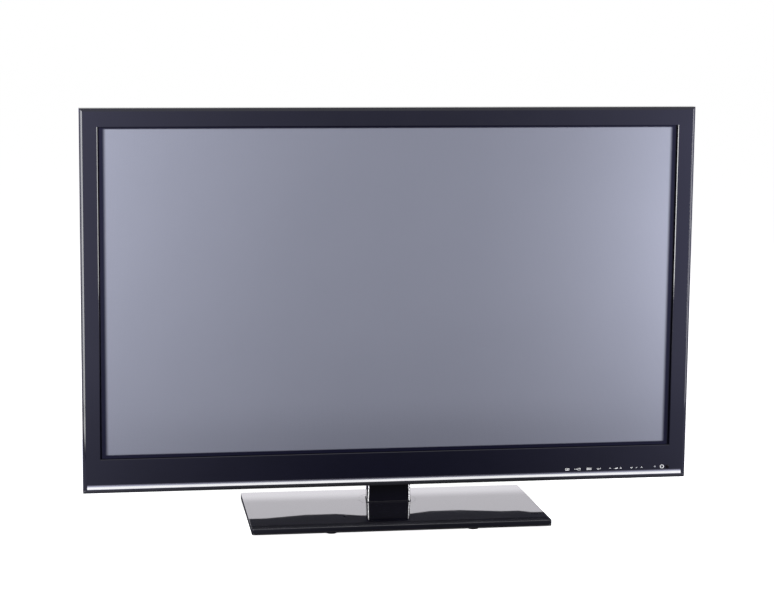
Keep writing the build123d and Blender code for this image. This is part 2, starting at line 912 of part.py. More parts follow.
# Heat sinks: a back with upright fins, on the power, sustain and main boards
sustain_y = boards["sustain_board_y"][0]
sustain_z = boards["sustain_board_z"][0]
main = boards["main_board"][0]
power_sink = (psu_x + psu_w / 4, foot + psu_z + psu_h / 4)
first_sink = (sustain_y[0] - sustain_sink_shift, foot + sustain_y[1] + sustain_sink_rise)
second_sink = (sustain_z[0], foot + sustain_z[1] + second_sink_rise)
main_sink = (main[0] + main_sink_shift, foot + main[1] + main[3] / 2 - main_sink_drop)
sinks = [
    (*power_sink, power_sink_w, power_sink_h),
    (*first_sink, sustain_sink_w, sustain_sink_h),
    (*second_sink, sustain_sink_w, second_sink_h),
    (*main_sink, main_sink_w, main_sink_h),
]
with BuildPart() as board_heat_sinks:
    for x, z, w, h in sinks:
        fins = int((w - fin_t) // fin_pitch) + 1
        with BuildSketch(level(z - h / 2)):
            with Locations((x, board_back + sink_back_t / 2)):
                Rectangle(w, sink_back_t)
            with Locations((x, board_back + sink_depth / 2)):
                with GridLocations(fin_pitch, 0, fins, 1):
                    Rectangle(fin_t, sink_depth)
        extrude(amount=h)
keep(board_heat_sinks, "board_heat_sinks")

# Bar that cools the address drivers along the foot of the chassis
address = boards["address_boards"]
bar_z = foot + address[0][1] - address[0][3] / 2 - bar_gap - bar_h
with BuildPart() as address_heat_bar:
    with BuildSketch(upright(chassis_back)):
        for x, z, w, h in address:
            with Locations((x, bar_z + bar_h / 2)):
                Rectangle(w, bar_h)
    extrude(amount=-stand_off)
keep(address_heat_bar, "address_heat_bar")

# Flat cables: the panel flexes over the bar, and the ribbon over the rail
control = boards["control_board"][0]
ribbon_z = foot + control[1] + ribbon_rise
ribbon_from = main[0] + main[2] / 2 - ribbon_inset
ribbon_to = control[0] - control[2] / 2 + ribbon_inset
rail_back = chassis_back + rail_d
with BuildPart() as flat_cables:
    for x, z, w, h in address:
        with BuildSketch(upright(board_y)):
            with Locations((x, bar_z + (bar_h + bar_gap) / 2)):
                with GridLocations(flex_pitch, 0, flex_count, 1):
                    Rectangle(flex_w, bar_h + bar_gap)
        extrude(amount=-flex_t)
    with BuildSketch(level(ribbon_z - ribbon_w / 2)):
        with BuildLine():
            Polyline(
                (ribbon_from - ribbon_lift, board_back + ribbon_t),
                (ribbon_from, board_back + ribbon_t),
                (ribbon_from + ribbon_lift, rail_back + 2 * ribbon_t),
                (ribbon_to - ribbon_lift, rail_back + 2 * ribbon_t),
                (ribbon_to, board_back + ribbon_t),
                (ribbon_to + ribbon_lift, board_back + ribbon_t),
            )
        trace(line_width=ribbon_t)
    extrude(amount=ribbon_w)
keep(flat_cables, "flat_cables")

# Rails behind the chassis that carry the wall mount inserts
rail_low = middle - mount_pitch / 2 - rail_margin
rail_high = middle + mount_pitch / 2 + rail_margin
with BuildPart() as wall_rails:
    with BuildSketch(level(rail_low)):
        with Locations((-mount_x, chassis_back + rail_d / 2), (mount_x, chassis_back + rail_d / 2)):
            Rectangle(rail_w, rail_d)
        with Locations(
            (-mount_x, chassis_back + rail_d / 2 - rail_wall_t),
            (mount_x, chassis_back + rail_d / 2 - rail_wall_t),
        ):
            Rectangle(rail_w - 2 * rail_wall_t, rail_d, mode=Mode.SUBTRACT)
    extrude(amount=rail_high - rail_low)
keep(wall_rails, "wall_rails")

mount_points = [(sx * mount_x, middle + sz * mount_x) for sx in (-1, 1) for sz in (-1, 1)]
with BuildPart() as wall_mount_inserts:
    with BuildSketch(upright(rail_back)):
        with Locations(*mount_points):
            Circle(insert_r)
    extrude(amount=-(back - rail_back))
    with BuildSketch(upright(back)):
        with Locations(*mount_points):
            Circle(mount_bore_r)
    extrude(amount=mount_bore_depth, mode=Mode.SUBTRACT)
keep(wall_mount_inserts, "wall_mount_inserts")

# Speakers: boxes on the floor of the rear cover, firing down through its slots
speaker_y0 = seam + speaker_seat
speaker_z0 = cover_bottom + cover_t + slip_gap
speaker_mid = speaker_y0 + speaker_d / 2
speaker_places = [(-speaker_x, speaker_mid), (speaker_x, speaker_mid)]
with BuildPart() as speaker_boxes:
    with BuildSketch(level(speaker_z0)):
        with Locations(*speaker_places):
            RectangleRounded(speaker_w, speaker_d, base_corner_r)
    extrude(amount=speaker_h)
    with BuildSketch(level(speaker_z0)):
        with Locations(*speaker_places):
            SlotOverall(cone_l, cone_w)
    extrude(amount=2 * cone_t, mode=Mode.SUBTRACT)
keep(speaker_boxes, "speaker_boxes")

with BuildPart() as speaker_cones:
    with BuildSketch(level(speaker_z0 + cone_t)):
        with Locations(*speaker_places):
            SlotOverall(cone_l - 2 * slip_gap, cone_w - 2 * slip_gap)
    extrude(amount=cone_t)
keep(speaker_cones, "speaker_cones")

# Key board above the keys, with a press switch over each one
key_board_w = key_board_x1 - key_board_x0
key_board_d = key_setback - wall_t + key_d
with BuildPart() as key_board:
    with BuildSketch(level(key_board_z)):
        key_board_y = front + wall_t + key_board_d / 2
        with Locations(((key_board_x0 + key_board_x1) / 2, key_board_y)):
            Rectangle(key_board_w, key_board_d)
    extrude(amount=key_board_t)
    with BuildSketch(level(key_board_z)):
        with Locations(*key_points):
            Rectangle(switch_w, switch_w)
    extrude(amount=-switch_h)
    with BuildSketch(level(key_board_z - switch_h)):
        with Locations(*key_points):
            Circle(plunger_r)
    extrude(amount=-plunger_h)
keep(key_board, "key_board")

# Push keys: a cap through the bezel's underside with a flange that stops it
for key_name, key_x in key_places.items():
    with BuildPart() as key:
        with BuildSketch(level(foot - key_proud)):
            with Locations((key_x, key_y)):
                Rectangle(key_w, key_d)
        extrude(amount=key_proud + wall_t + running_gap)
        fillet(key.faces().sort_by(Axis.Z)[0].edges(), radius=key_edge_r)
        with BuildSketch(level(key_floor + running_gap)):
            with Locations((key_x, key_y)):
                Rectangle(key_w + 2 * key_flange, key_d + 2 * key_flange)
        extrude(amount=key_flange_t)
    keep(key, key_name)

# Sensor board behind the marks, with the receiver behind its window
sensor_z = key_board_z + key_board_t
sensor_board_y = front + wall_t + sensor_stand
with BuildPart() as sensor_board:
    with BuildSketch(upright(sensor_board_y)):
        with Locations((sensor_x - sensor_board_w / 4, sensor_z + sensor_board_h / 2)):
            Rectangle(sensor_board_w, sensor_board_h)
    extrude(amount=-key_board_t)
    with BuildSketch(upright(sensor_board_y)):
        with Locations((sensor_x, foot + mark_z)):
            Circle(sensor_r - slip_gap)
    extrude(amount=sensor_stand)
keep(sensor_board, "sensor_board")

with BuildPart() as sensor_window:
    with BuildSketch(upright(front)):
        with Locations((sensor_x, foot + mark_z)):
            Circle(sensor_r)
    extrude(amount=-wall_t)
keep(sensor_window, "sensor_window")

# Rear cover: a stepped shell with posts, terminal pocket, vents and speaker slots
window_w = terminal_w + 2 * cover_t
window_h = terminal_h + 2 * cover_t
terminal_mid = foot + terminal_z
hatch_front = seam
hatch_back = back - cover_t - hatch_margin
inlet_mid = foot + inlet_z
inlet_hole_w = inlet_w + 2 * inlet_wall
inlet_hole_h = inlet_h + 2 * inlet_wall
with BuildPart() as rear_cover:
    add(cover_body(0.0, seam))
    add(cover_body(cover_t, seam - cover_t), mode=Mode.SUBTRACT)
    with BuildSketch(upright(plate_back)):
        with Locations((terminal_x, terminal_mid)):
            Rectangle(window_w, window_h)
    extrude(amount=-(side_back - plate_back))
    with BuildSketch(upright(plate_back)):
        with Locations((terminal_x, terminal_mid)):
            Rectangle(terminal_w, terminal_h)
    extrude(amount=-(side_back - plate_back), mode=Mode.SUBTRACT)
    with BuildSketch(upright(chassis_back)):
        with Locations(*cover_screw_points()):
            Circle(cover_post_r)
    extrude(amount=-(cover_inner - chassis_back))
    with BuildSketch(upright(side_back)):
        with Locations(*cover_screw_points()):
            Circle(post_hole_r)
    extrude(amount=side_back - chassis_back, mode=Mode.SUBTRACT)
    with BuildSketch(upright(back)):
        with Locations(*mount_points):
            Circle(insert_r + slip_gap)
    extrude(amount=2 * cover_t, mode=Mode.SUBTRACT)
    with BuildSketch(upright(back)):
        with Locations((0, foot + vent_low_z), (0, head - vent_high_inset)):
            with GridLocations(vent_pitch_x, vent_pitch_z, vent_columns, vent_rows):
                SlotOverall(vent_l, vent_h)
    extrude(amount=2 * cover_t, mode=Mode.SUBTRACT)
    with BuildSketch(upright(side_back)):
        side_vent_x = set_w / 2 - side_vent_inset_x
        side_vent_z = head - side_vent_inset_z
        with Locations((-side_vent_x, side_vent_z), (side_vent_x, side_vent_z)):
            with GridLocations(vent_pitch_x, vent_pitch_z, side_vent_columns, side_vent_rows):
                SlotOverall(vent_l, vent_h)
    extrude(amount=2 * cover_t, mode=Mode.SUBTRACT)
    with BuildSketch(upright(side_back)):
        with Locations((inlet_x, inlet_mid)):
            Rectangle(inlet_hole_w + 2 * slip_gap, inlet_hole_h + 2 * slip_gap)
    extrude(amount=2 * cover_t, mode=Mode.SUBTRACT)
    with BuildSketch(level(cover_bottom)):
        with Locations(*speaker_places):
            with GridLocations(speaker_slot_pitch, 0, speaker_slots, 1):
                SlotOverall(speaker_d - 2 * cover_t, speaker_slot_w, rotation=90)
    extrude(amount=cover_t, mode=Mode.SUBTRACT)
    with BuildSketch(level(cover_bottom)):
        with Locations((0, (hatch_front + hatch_back) / 2)):
            Rectangle(hatch_w, hatch_back - hatch_front)
    extrude(amount=cover_t, mode=Mode.SUBTRACT)
    with BuildSketch(upright(back)):
        with Locations(*[(side * hatch_w / 2, cover_bottom + notch_h / 2) for side in (-1, 1)]):
            Rectangle(notch_w, notch_h)
    extrude(amount=back - hatch_back + notch_w / 2, mode=Mode.SUBTRACT)
keep(rear_cover, "rear_cover")

# Hatch that closes the set's underside round the post
with BuildPart() as neck_hatch:
    with BuildSketch(level(cover_bottom)):
        with Locations((0, (hatch_front + hatch_back) / 2)):
            Rectangle(hatch_w - 2 * slip_gap, hatch_back - hatch_front - 2 * slip_gap)
        with Locations((0, axis_y)):
            Rectangle(post_w + 2 * slip_gap, post_d + 2 * slip_gap, mode=Mode.SUBTRACT)
    extrude(amount=cover_t)
keep(neck_hatch, "neck_hatch")

# Screws of the rear cover, through its posts to the chassis
with BuildPart() as rear_screws:
    with BuildSketch(upright(side_back)):
        with Locations(*cover_screw_points()):
            Circle(cover_head_r)
    extrude(amount=-cover_head_t)
    with BuildSketch(upright(side_back)):
        with Locations(*cover_screw_points()):
            Circle(cover_screw_r)
    extrude(amount=side_back - chassis_back - slip_gap)
keep(rear_screws, "rear_screws")

# Terminals. Each socket is placed from the middle of the terminal pocket.
socket_reach = plate_back - board_back + terminal_plate_t
pocket_left = terminal_x - terminal_w / 2
pocket_right = terminal_x + terminal_w / 2
pocket_top = terminal_mid + terminal_h / 2
pocket_foot = terminal_mid - terminal_h / 2
jack_points = [
    (pocket_left + jack_edge + column * jack_column_pitch, pocket_top - jack_top - row * jack_pitch)
    for column, rows in enumerate(jack_rows)
    for row in range(rows)
]
digital_x = pocket_right - digital_edge
hdmi_points = [(digital_x, pocket_top - drop) for drop in hdmi_drops]
display_point = (digital_x, pocket_top - display_drop)
usb_point = (digital_x, pocket_top - usb_drop)
aerial_point = (pocket_left + aerial_edge, pocket_foot + aerial_rise)

with BuildPart() as terminal_plate:
    with BuildSketch(upright(plate_back)):
        with Locations((terminal_x, terminal_mid)):
            Rectangle(window_w, window_h)
        with Locations(*jack_points):
            Circle(jack_r + slip_gap, mode=Mode.SUBTRACT)
        with Locations(*hdmi_points):
            Rectangle(hdmi_w + 2 * slip_gap, hdmi_h + 2 * slip_gap, mode=Mode.SUBTRACT)
        with Locations(display_point):
            Rectangle(display_w + 2 * slip_gap, display_h + 2 * slip_gap, mode=Mode.SUBTRACT)
        with Locations(usb_point):
            Rectangle(usb_w + 2 * slip_gap, usb_h + 2 * slip_gap, mode=Mode.SUBTRACT)
        with Locations(aerial_point):
            Circle(aerial_r + slip_gap, mode=Mode.SUBTRACT)
    extrude(amount=terminal_plate_t)
keep(terminal_plate, "terminal_plate")

with BuildPart() as hdmi_sockets:
    with BuildSketch(upright(board_back)):
        with Locations(*hdmi_points):
            Rectangle(hdmi_w, hdmi_h)
    extrude(amount=-socket_reach)
    with BuildSketch(upright(board_back + socket_reach)):
        with Locations(*hdmi_points):
            Rectangle(hdmi_w - 2 * socket_shell_t, hdmi_h - 2 * socket_shell_t)
            Rectangle(hdmi_w - 8 * socket_shell_t, tongue_t, mode=Mode.SUBTRACT)
    extrude(amount=socket_reach - 2 * socket_shell_t, mode=Mode.SUBTRACT)
keep(hdmi_sockets, "hdmi_sockets")

with BuildPart() as usb_socket:
    with BuildSketch(upright(board_back)):
        with Locations(usb_point):
            Rectangle(usb_w, usb_h)
    extrude(amount=-socket_reach)
    with BuildSketch(upright(board_back + socket_reach)):
        with Locations(usb_point):
            Rectangle(usb_w - 2 * socket_shell_t, usb_h - 2 * socket_shell_t)
        with Locations((usb_point[0], usb_point[1] + usb_h / 6)):
            Rectangle(usb_w - 4 * socket_shell_t, 2 * tongue_t, mode=Mode.SUBTRACT)
    extrude(amount=socket_reach - 2 * socket_shell_t, mode=Mode.SUBTRACT)
keep(usb_socket, "usb_socket")

with BuildPart() as round_jacks:
    with BuildSketch(upright(board_back)):
        with Locations(*jack_points):
            Rectangle(2.4 * jack_r, 2.4 * jack_r)
    extrude(amount=-(plate_back - terminal_plate_t - board_back))
    with BuildSketch(upright(board_back)):
        with Locations(*jack_points):
            Circle(jack_r)
    extrude(amount=-(plate_back - board_back + jack_reach))
    with BuildSketch(upright(plate_back + jack_reach)):
        with Locations(*jack_points):
            Circle(jack_bore_r)
    extrude(amount=jack_reach, mode=Mode.SUBTRACT)
keep(round_jacks, "round_jacks")

with BuildPart() as display_socket:
    with BuildSketch(upright(board_back)):
        with Locations(display_point):
            Rectangle(display_w, display_h)
    extrude(amount=-(plate_back - board_back))
    with BuildSketch(upright(plate_back)):
        with Locations(display_point):
            RectangleRounded(display_plug_w, display_plug_h, display_plug_h / 4)
    extrude(amount=-jack_reach / 2)
    with BuildSketch(upright(plate_back + jack_reach / 2)):
        with Locations(display_point):
            with GridLocations(display_plug_w / 7, display_plug_h / 4, 5, 3):
                Circle(socket_shell_t)
    extrude(amount=jack_reach / 2, mode=Mode.SUBTRACT)
    with BuildSketch(upright(plate_back)):
        with Locations(display_point):
            with GridLocations(display_nut_pitch, 0, 2, 1):
                RegularPolygon(display_nut_r, 6)
    extrude(amount=-jack_reach / 2)
keep(display_socket, "display_socket")

with BuildPart() as aerial_socket:
    with BuildSketch(upright(board_back)):
        with Locations(aerial_point):
            Rectangle(aerial_can_w, aerial_can_h)
    extrude(amount=-(plate_back - terminal_plate_t - board_back - slip_gap))
    with BuildSketch(upright(board_back)):
        with Locations(aerial_point):
            Circle(aerial_r)
    extrude(amount=-(plate_back - board_back + jack_reach))
    with BuildSketch(upright(plate_back + jack_reach)):
        with Locations(aerial_point):
            Circle(aerial_bore_r)
    extrude(amount=jack_reach, mode=Mode.SUBTRACT)
keep(aerial_socket, "aerial_socket")

# Mains inlet with three pins
inlet_back = side_back + inlet_flange_t
with BuildPart() as mains_inlet:
    with BuildSketch(upright(side_back)):
        with Locations((inlet_x, inlet_mid)):
            Rectangle(inlet_hole_w + 2 * inlet_flange, inlet_hole_h + 2 * inlet_flange)
    extrude(amount=-inlet_flange_t)
    with BuildSketch(upright(side_back)):
        with Locations((inlet_x, inlet_mid)):
            Rectangle(inlet_hole_w, inlet_hole_h)
    extrude(amount=inlet_depth)
    with BuildSketch(upright(inlet_back)):
        with Locations((inlet_x, inlet_mid)):
            Rectangle(inlet_w, inlet_h)
    extrude(amount=inlet_depth, mode=Mode.SUBTRACT)
    with BuildSketch(upright(inlet_back - inlet_depth)):
        with Locations((inlet_x, inlet_mid)):
            with Locations((-pin_pitch, -pin_shift), (0, pin_shift), (pin_pitch, -pin_shift)):
                Rectangle(pin_w, pin_h)
    extrude(amount=-pin_l)
keep(mains_inlet, "mains_inlet")
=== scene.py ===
"""Looks of a flat plasma television on its swivel table stand.

Sizes are written in millimetres and put in metres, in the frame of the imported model:
+X to the right of the viewer, +Y away from the viewer, +Z up, the origin on the table.
"""

import json
import logging
import math
from dataclasses import dataclass, field
from enum import Enum

import bpy
import numpy as np
from mathutils import Matrix, Vector


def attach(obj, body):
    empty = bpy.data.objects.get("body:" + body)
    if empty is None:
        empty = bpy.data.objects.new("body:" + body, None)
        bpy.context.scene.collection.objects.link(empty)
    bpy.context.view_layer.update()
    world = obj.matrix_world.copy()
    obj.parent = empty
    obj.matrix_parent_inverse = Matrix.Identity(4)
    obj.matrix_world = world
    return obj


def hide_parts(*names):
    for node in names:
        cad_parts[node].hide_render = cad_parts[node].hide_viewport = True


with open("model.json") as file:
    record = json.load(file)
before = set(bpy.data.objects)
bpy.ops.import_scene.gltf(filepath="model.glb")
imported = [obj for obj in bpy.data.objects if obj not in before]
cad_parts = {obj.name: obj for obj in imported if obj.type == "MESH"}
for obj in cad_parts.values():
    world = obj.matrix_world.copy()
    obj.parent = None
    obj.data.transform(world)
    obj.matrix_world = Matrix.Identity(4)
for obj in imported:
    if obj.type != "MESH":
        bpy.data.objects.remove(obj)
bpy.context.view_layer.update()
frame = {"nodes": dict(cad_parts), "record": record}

MM = 0.001
PATCH_LOW, PATCH_HIGH = 0.3, 0.7  # levels of noise between which one tone becomes the other
SMUDGE = 0.6  # size of a smudge as a share of a patch
CREASE = 35.0  # bend in degrees above which an edge is shown sharp
INNERMOST = 0.02  # radius of a dome's innermost ring as a share of the dome's
HOOP_POINTS = 41  # points along a printed ring
CARD_FOOT = 0.002  # height in metres of a card over the floor
CARD_SOFT = 0.16  # width in metres of a flat card's faded edge
Pair = tuple[float, float]
Triple = tuple[float, float, float]
Line = tuple[Pair, ...]
Socket = bpy.types.NodeSocket
log = logging.getLogger("television")


class Body(Enum):
    """Body of the model that the new pieces ride on."""

    SET = "set"


class Slot(Enum):
    """Names of material slots of the record; nothing in this script uses them."""

    STRIP = "bright_strip"
    GASKET = "soft_gasket"
    WINDOW = "dark_window"
    SCREW = "screw_steel"
    SOCKET = "socket_plastic"


# Node trees


class Bench:
    """Makes the nodes of one material or world and links them."""

    def __init__(self, tree: bpy.types.NodeTree) -> None:
        """Empties the tree.

        Args:
            tree: node tree to work on.
        """
        self.tree = tree
        tree.nodes.clear()

    def add(self, kind: str, inputs: dict | None = None, **settings: object) -> bpy.types.Node:
        """Adds one node.

        Args:
            kind: Blender's name of the node type.
            inputs: values or output sockets, by input name or number.
            settings: properties of the node.

        Returns:
            The new node.
        """
        node = self.tree.nodes.new(kind)
        for name, value in settings.items():
            setattr(node, name, value)
        for key, value in (inputs or {}).items():
            if isinstance(value, Socket):
                self.tree.links.new(value, node.inputs[key])
            else:
                node.inputs[key].default_value = value
        return node

    def place(self) -> Socket:
        """Returns the Object coordinates."""
        return self.add("ShaderNodeTexCoord").outputs["Object"]

    def axes(self, place: Socket) -> list[Socket]:
        """Returns the X, Y and Z of a place."""
        return list(self.add("ShaderNodeSeparateXYZ", {0: place}).outputs)

    def math(self, operation: str, *values: object) -> Socket:
        """Adds a Math node.

        Args:
            operation: Blender's name of the operation.
            values: numbers or output sockets.

        Returns:
            The result.
        """
        return self.add("ShaderNodeMath", dict(enumerate(values)), operation=operation).outputs[0]

    def range(self, value: object, low: float, high: float, out: Pair,
              smooth: bool = False) -> Socket:
        """Maps a value from one range to another, held at the ends.

        Args:
            value: output socket to map.
            low: value that gives the first result.
            high: value that gives the second result.
            out: the two results.
            smooth: eased at both ends.

        Returns:
            The mapped value.
        """
        node = self.add(
            "ShaderNodeMapRange",
            {"Value": value, "From Min": low, "From Max": high, "To Min": out[0], "To Max": out[1]},
            interpolation_type="SMOOTHSTEP" if smooth else "LINEAR",
        )
        return node.outputs["Result"]

    def shiny(self, rays: object) -> Socket:
        """Returns 1 for rays in gloss and through glass, and 0 for others."""
        return self.math("MAXIMUM", rays["Is Glossy Ray"], rays["Is Transmission Ray"])

    def noise(self, place: object, size: float, detail: float = 2.0,
              stretch: Triple = (1.0, 1.0, 1.0)) -> Socket:
        """Noise of a real size.

        Args:
            place: coordinates in metres.
            size: width of its patches in millimetres.
            detail: number of finer layers.
            stretch: how much longer the patches are along each axis.

        Returns:
            The noise, from 0 to 1.
        """
        scale = tuple(1.0 / s for s in stretch)
        moved = self.add("ShaderNodeMapping", {"Vector": place, "Scale": scale}).outputs[0]
        node = self.add(
            "ShaderNodeTexNoise", {"Vector": moved, "Scale": 1.0 / (size * MM), "Detail": detail}
        )
        return node.outputs["Fac"]

    def stripes(self, along: Socket, pitch: float, top: float = 1.0) -> Socket:
        """Returns a sine from 0 to the top, with a pitch in millimetres along an axis."""
        turns = self.math("MULTIPLY", along, 2.0 * math.pi / (pitch * MM))
        return self.range(self.math("SINE", turns), -1.0, 1.0, (0.0, top))

    def blend(self, factor: object, first: object, second: object) -> Socket:
        """Mixes two colours.

        Args:
            factor: output socket from 0 to 1.
            first: colour at 0, three numbers or a socket.
            second: colour at 1, three numbers or a socket.

        Returns:
            The mixed colour.
        """
        node = self.add("ShaderNodeMix", {0: factor}, data_type="RGBA")
        for number, colour in ((6, first), (7, second)):
            if isinstance(colour, Socket):
                self.tree.links.new(colour, node.inputs[number])
            else:
                node.inputs[number].default_value = (*colour, 1.0)
        return node.outputs[2]

    def bump(self, height: object, depth: float) -> Socket:
        """Turns a height from 0 to 1 into a normal.

        Args:
            height: output socket.
            depth: real depth of the relief in millimetres.

        Returns:
            The normal.
        """
        node = self.add(
            "ShaderNodeBump", {"Height": height, "Distance": depth * MM, "Strength": 1.0}
        )
        return node.outputs["Normal"]


def new_material(name: str) -> tuple[bpy.types.Material, Bench]:
    """Returns a new material and the bench of its empty node tree."""
    material = bpy.data.materials.new(name)
    material.use_nodes = True
    return material, Bench(material.node_tree)


def new_object(name: str, data: bpy.types.ID) -> bpy.types.Object:
    """Returns a new object with the data, linked to the scene."""
    thing = bpy.data.objects.new(name, data)
    bpy.context.scene.collection.objects.link(thing)
    return thing


@dataclass(frozen=True)
class Finish:
    """A moulded, painted or cast surface with patches, grain and uneven gloss."""

    name: str
    colour: Triple
    tint: Triple
    patch: float = 40.0
    roughness: float = 0.5
    swing: float = 0.08
    grain: float = 0.6
    depth: float = 0.01
    metallic: float = 0.0
    ior: float = 1.5
    specular: float = 0.5
    coat: float = 0.0
    coat_roughness: float = 0.03
    coat_ior: float = 1.5
    stretch: Triple = (1.0, 1.0, 1.0)

    def colours(self, bench: Bench, place: Socket) -> Socket:
        """Returns the colour over the surface: two tones mixed by soft patches."""
        noise = bench.noise(place, self.patch, detail=3.0)
        patches = bench.range(noise, PATCH_LOW, PATCH_HIGH, (0.0, 1.0))
        return bench.blend(patches, self.colour, self.tint)

    def relief(self, bench: Bench, place: Socket) -> Socket:
        """Returns the height of the fine grain, from 0 to 1."""
        return bench.noise(place, self.grain, stretch=self.stretch)

    def shine(self, bench: Bench, place: Socket) -> Socket:
        """Returns the roughness over the surface, uneven as from wiping."""
        smudge = bench.noise(place, self.patch * SMUDGE, detail=4.0, stretch=self.stretch)
        low, high = max(0.0, self.roughness - self.swing), self.roughness + self.swing
        return bench.range(smudge, PATCH_LOW, PATCH_HIGH, (low, high))

    def make(self) -> bpy.types.Material:
        """Builds the material.

        Returns:
            The material, made once and then found again by its name.
        """
        title = self.name + "_finish"
        known = bpy.data.materials.get(title)
        if known:
            return known
        material, bench = new_material(title)
        place = bench.place()
        inputs = {
            "Base Color": self.colours(bench, place),
            "Roughness": self.shine(bench, place),
            "Metallic": self.metallic,
            "IOR": self.ior,
            "Specular IOR Level": self.specular,
            "Coat Weight": self.coat,
            "Coat Roughness": self.coat_roughness,
            "Coat IOR": self.coat_ior,
        }
        if self.depth > 0.0:
            inputs["Normal"] = bench.bump(self.relief(bench, place), self.depth)
        shader = bench.add("ShaderNodeBsdfPrincipled", inputs)
        bench.add("ShaderNodeOutputMaterial", {"Surface": shader.outputs[0]})
        return material


@dataclass(frozen=True)
class PaintedBandFinish(Finish):
    """Finish with a second tone of painted light or shade, which may be matt, by the distance from
    a height.

    The second tone's share goes from 0 at the first distance to 1 at the last one.
    """

    middle: float = 0.0
    first: float = 0.0
    last: float = 0.0
    second: Triple = (0.0, 0.0, 0.0)
    matt: float = 0.0
    smooth: bool = False

    def share(self, bench: Bench, place: Socket) -> Socket:
        """Returns the second tone's share."""
        height = bench.axes(place)[2]
        away = bench.math("ABSOLUTE", bench.math("SUBTRACT", height, self.middle * MM))
        return bench.range(away, self.first * MM, self.last * MM, (0.0, 1.0), self.smooth)

    def colours(self, bench: Bench, place: Socket) -> Socket:
        """Returns the patches of the first tone mixed with the second tone."""
        return bench.blend(self.share(bench, place), super().colours(bench, place), self.second)

    def shine(self, bench: Bench, place: Socket) -> Socket:
        """Returns the roughness, which is at least the matt one times the second tone's share."""
        matt = bench.math("MULTIPLY", self.share(bench, place), self.matt)
        return bench.math("MAXIMUM", super().shine(bench, place), matt)


@dataclass(frozen=True)
class ScreenFinish(Finish):
    """Front glass of the panel: a grey picture area with fine cells inside a black border."""

    half_width: float = 453.4
    foot: float = 103.2
    head: float = 619.4
    border: Triple = (0.006, 0.006, 0.019)
    side_fade: float = 3.4
    end_fade: float = 1.0
    cell: float = 0.9
    stripe: float = 0.35
    # Painted shade along the picture area's foot, darker in the middle than at the sides.
    painted_shade: float = 0.20
    painted_shade_rise: float = 90.0
    painted_shade_full: float = 129.0
    painted_shade_half: float = 430.0
    painted_shade_side: float = 0.3

    def painted_shade_share(self, bench: Bench, axes: object, above: object) -> Socket:
        """Builds the share of black that paints shade along the picture area's foot.

        It falls from the painted shade's share to nothing over its rise, and to a part of itself
        towards both sides.

        Args:
            bench: where the nodes are made.
            axes: the three Object coordinates.
            above: height above the foot of the picture area.

        Returns:
            The share, from 0 up to the painted shade's.
        """
        rise = bench.range(above, 0.0, self.painted_shade_rise * MM, (self.painted_shade, 0.0), smooth=True)
        away = bench.math("ABSOLUTE", axes[0])
        near, far = self.painted_shade_full * MM, self.painted_shade_half * MM
        middle = bench.range(away, near, far, (1.0, self.painted_shade_side))
        return bench.math("MULTIPLY", rise, middle)

    def colours(self, bench: Bench, place: Socket) -> Socket:
        """Returns grey inside the picture area and the border's black outside.

        The share of grey is the product of eased steps across the area's sides and across its
        ends, upright stripes of one cell's width darken the grey a little, and painted shade
        darkens it towards black along the area's foot.
        """
        axes = bench.axes(place)
        across = bench.math("SUBTRACT", self.half_width * MM, bench.math("ABSOLUTE", axes[0]))
        above = bench.math("SUBTRACT", axes[2], self.foot * MM)
        below = bench.math("SUBTRACT", self.head * MM, axes[2])
        along = bench.math("MINIMUM", above, below)
        side, end = self.side_fade * MM, self.end_fade * MM
        side_share = bench.range(across, -side, side, (0.0, 1.0), smooth=True)
        end_share = bench.range(along, -end, end, (0.0, 1.0), smooth=True)
        share = bench.math("MULTIPLY", side_share, end_share)
        stripes = bench.stripes(axes[0], self.cell, self.stripe)
        # Painted shade: the grey is darkened towards black along the picture area's foot.
        painted_shade = self.painted_shade_share(bench, axes, above)
        plain = bench.blend(painted_shade, super().colours(bench, place), self.border)
        cells = bench.blend(stripes, plain, self.border)
        return bench.blend(share, self.border, cells)


@dataclass(frozen=True)
class BoardFinish(Finish):
    """Circuit board: lacquer over copper runs, with bright pads in rows."""

    run: float = 5.0
    run_edge: Pair = (0.05, 0.08)
    pad: float = 2.6
    pad_edge: Pair = (0.16, 0.2)
    scatter: float = 0.35
    copper: Triple = (0.05, 0.24, 0.10)
    solder: Triple = (0.62, 0.62, 0.60)

    def colours(self, bench: Bench, place: Socket) -> Socket:
        """Returns the lacquer's colour with runs along cell edges and round pads."""
        runs = bench.add(
            "ShaderNodeTexVoronoi",
            {"Vector": place, "Scale": 1.0 / (self.run * MM)},
            feature="DISTANCE_TO_EDGE",
            distance="MANHATTAN",
        ).outputs["Distance"]
        pads = bench.add(
            "ShaderNodeTexVoronoi",
            {"Vector": place, "Scale": 1.0 / (self.pad * MM), "Randomness": self.scatter},
        ).outputs["Distance"]
        lacquer = super().colours(bench, place)
        run_share = bench.range(runs, *self.run_edge, (1.0, 0.0))
        pad_share = bench.range(pads, *self.pad_edge, (1.0, 0.0))
        return bench.blend(pad_share, bench.blend(run_share, lacquer, self.copper), self.solder)


@dataclass(frozen=True)
class StripedFinish(Finish):
    """Wound tape or a flat cable: stripes across one axis."""

    pitch: float = 2.0
    axis: int = 0

    def relief(self, bench: Bench, place: Socket) -> Socket:
        """Returns rounded stripes along the axis."""
        return bench.stripes(bench.axes(place)[self.axis], self.pitch)


# The bezel's lacquer stops above its foot, where the plastic is left matt; the lighter tone there
# is a painted reflection.
GLOSS_BLACK = PaintedBandFinish(
    "gloss_black", (0.0035, 0.0036, 0.0115), (0.0045, 0.0045, 0.0135), patch=60.0,
    roughness=0.07, swing=0.03, grain=5.0, depth=0.0003, first=47.6, last=47.2,
    second=(0.016, 0.016, 0.022), matt=0.5,
)
BASE_BLACK = Finish(
    "gloss_black_base", (0.0060, 0.0058, 0.0105), (0.0075, 0.0072, 0.0125), patch=60.0,
    roughness=0.05, swing=0.02, grain=6.0, depth=0.0002, ior=1.6, coat=1.0,
    coat_roughness=0.02, coat_ior=1.7,
)
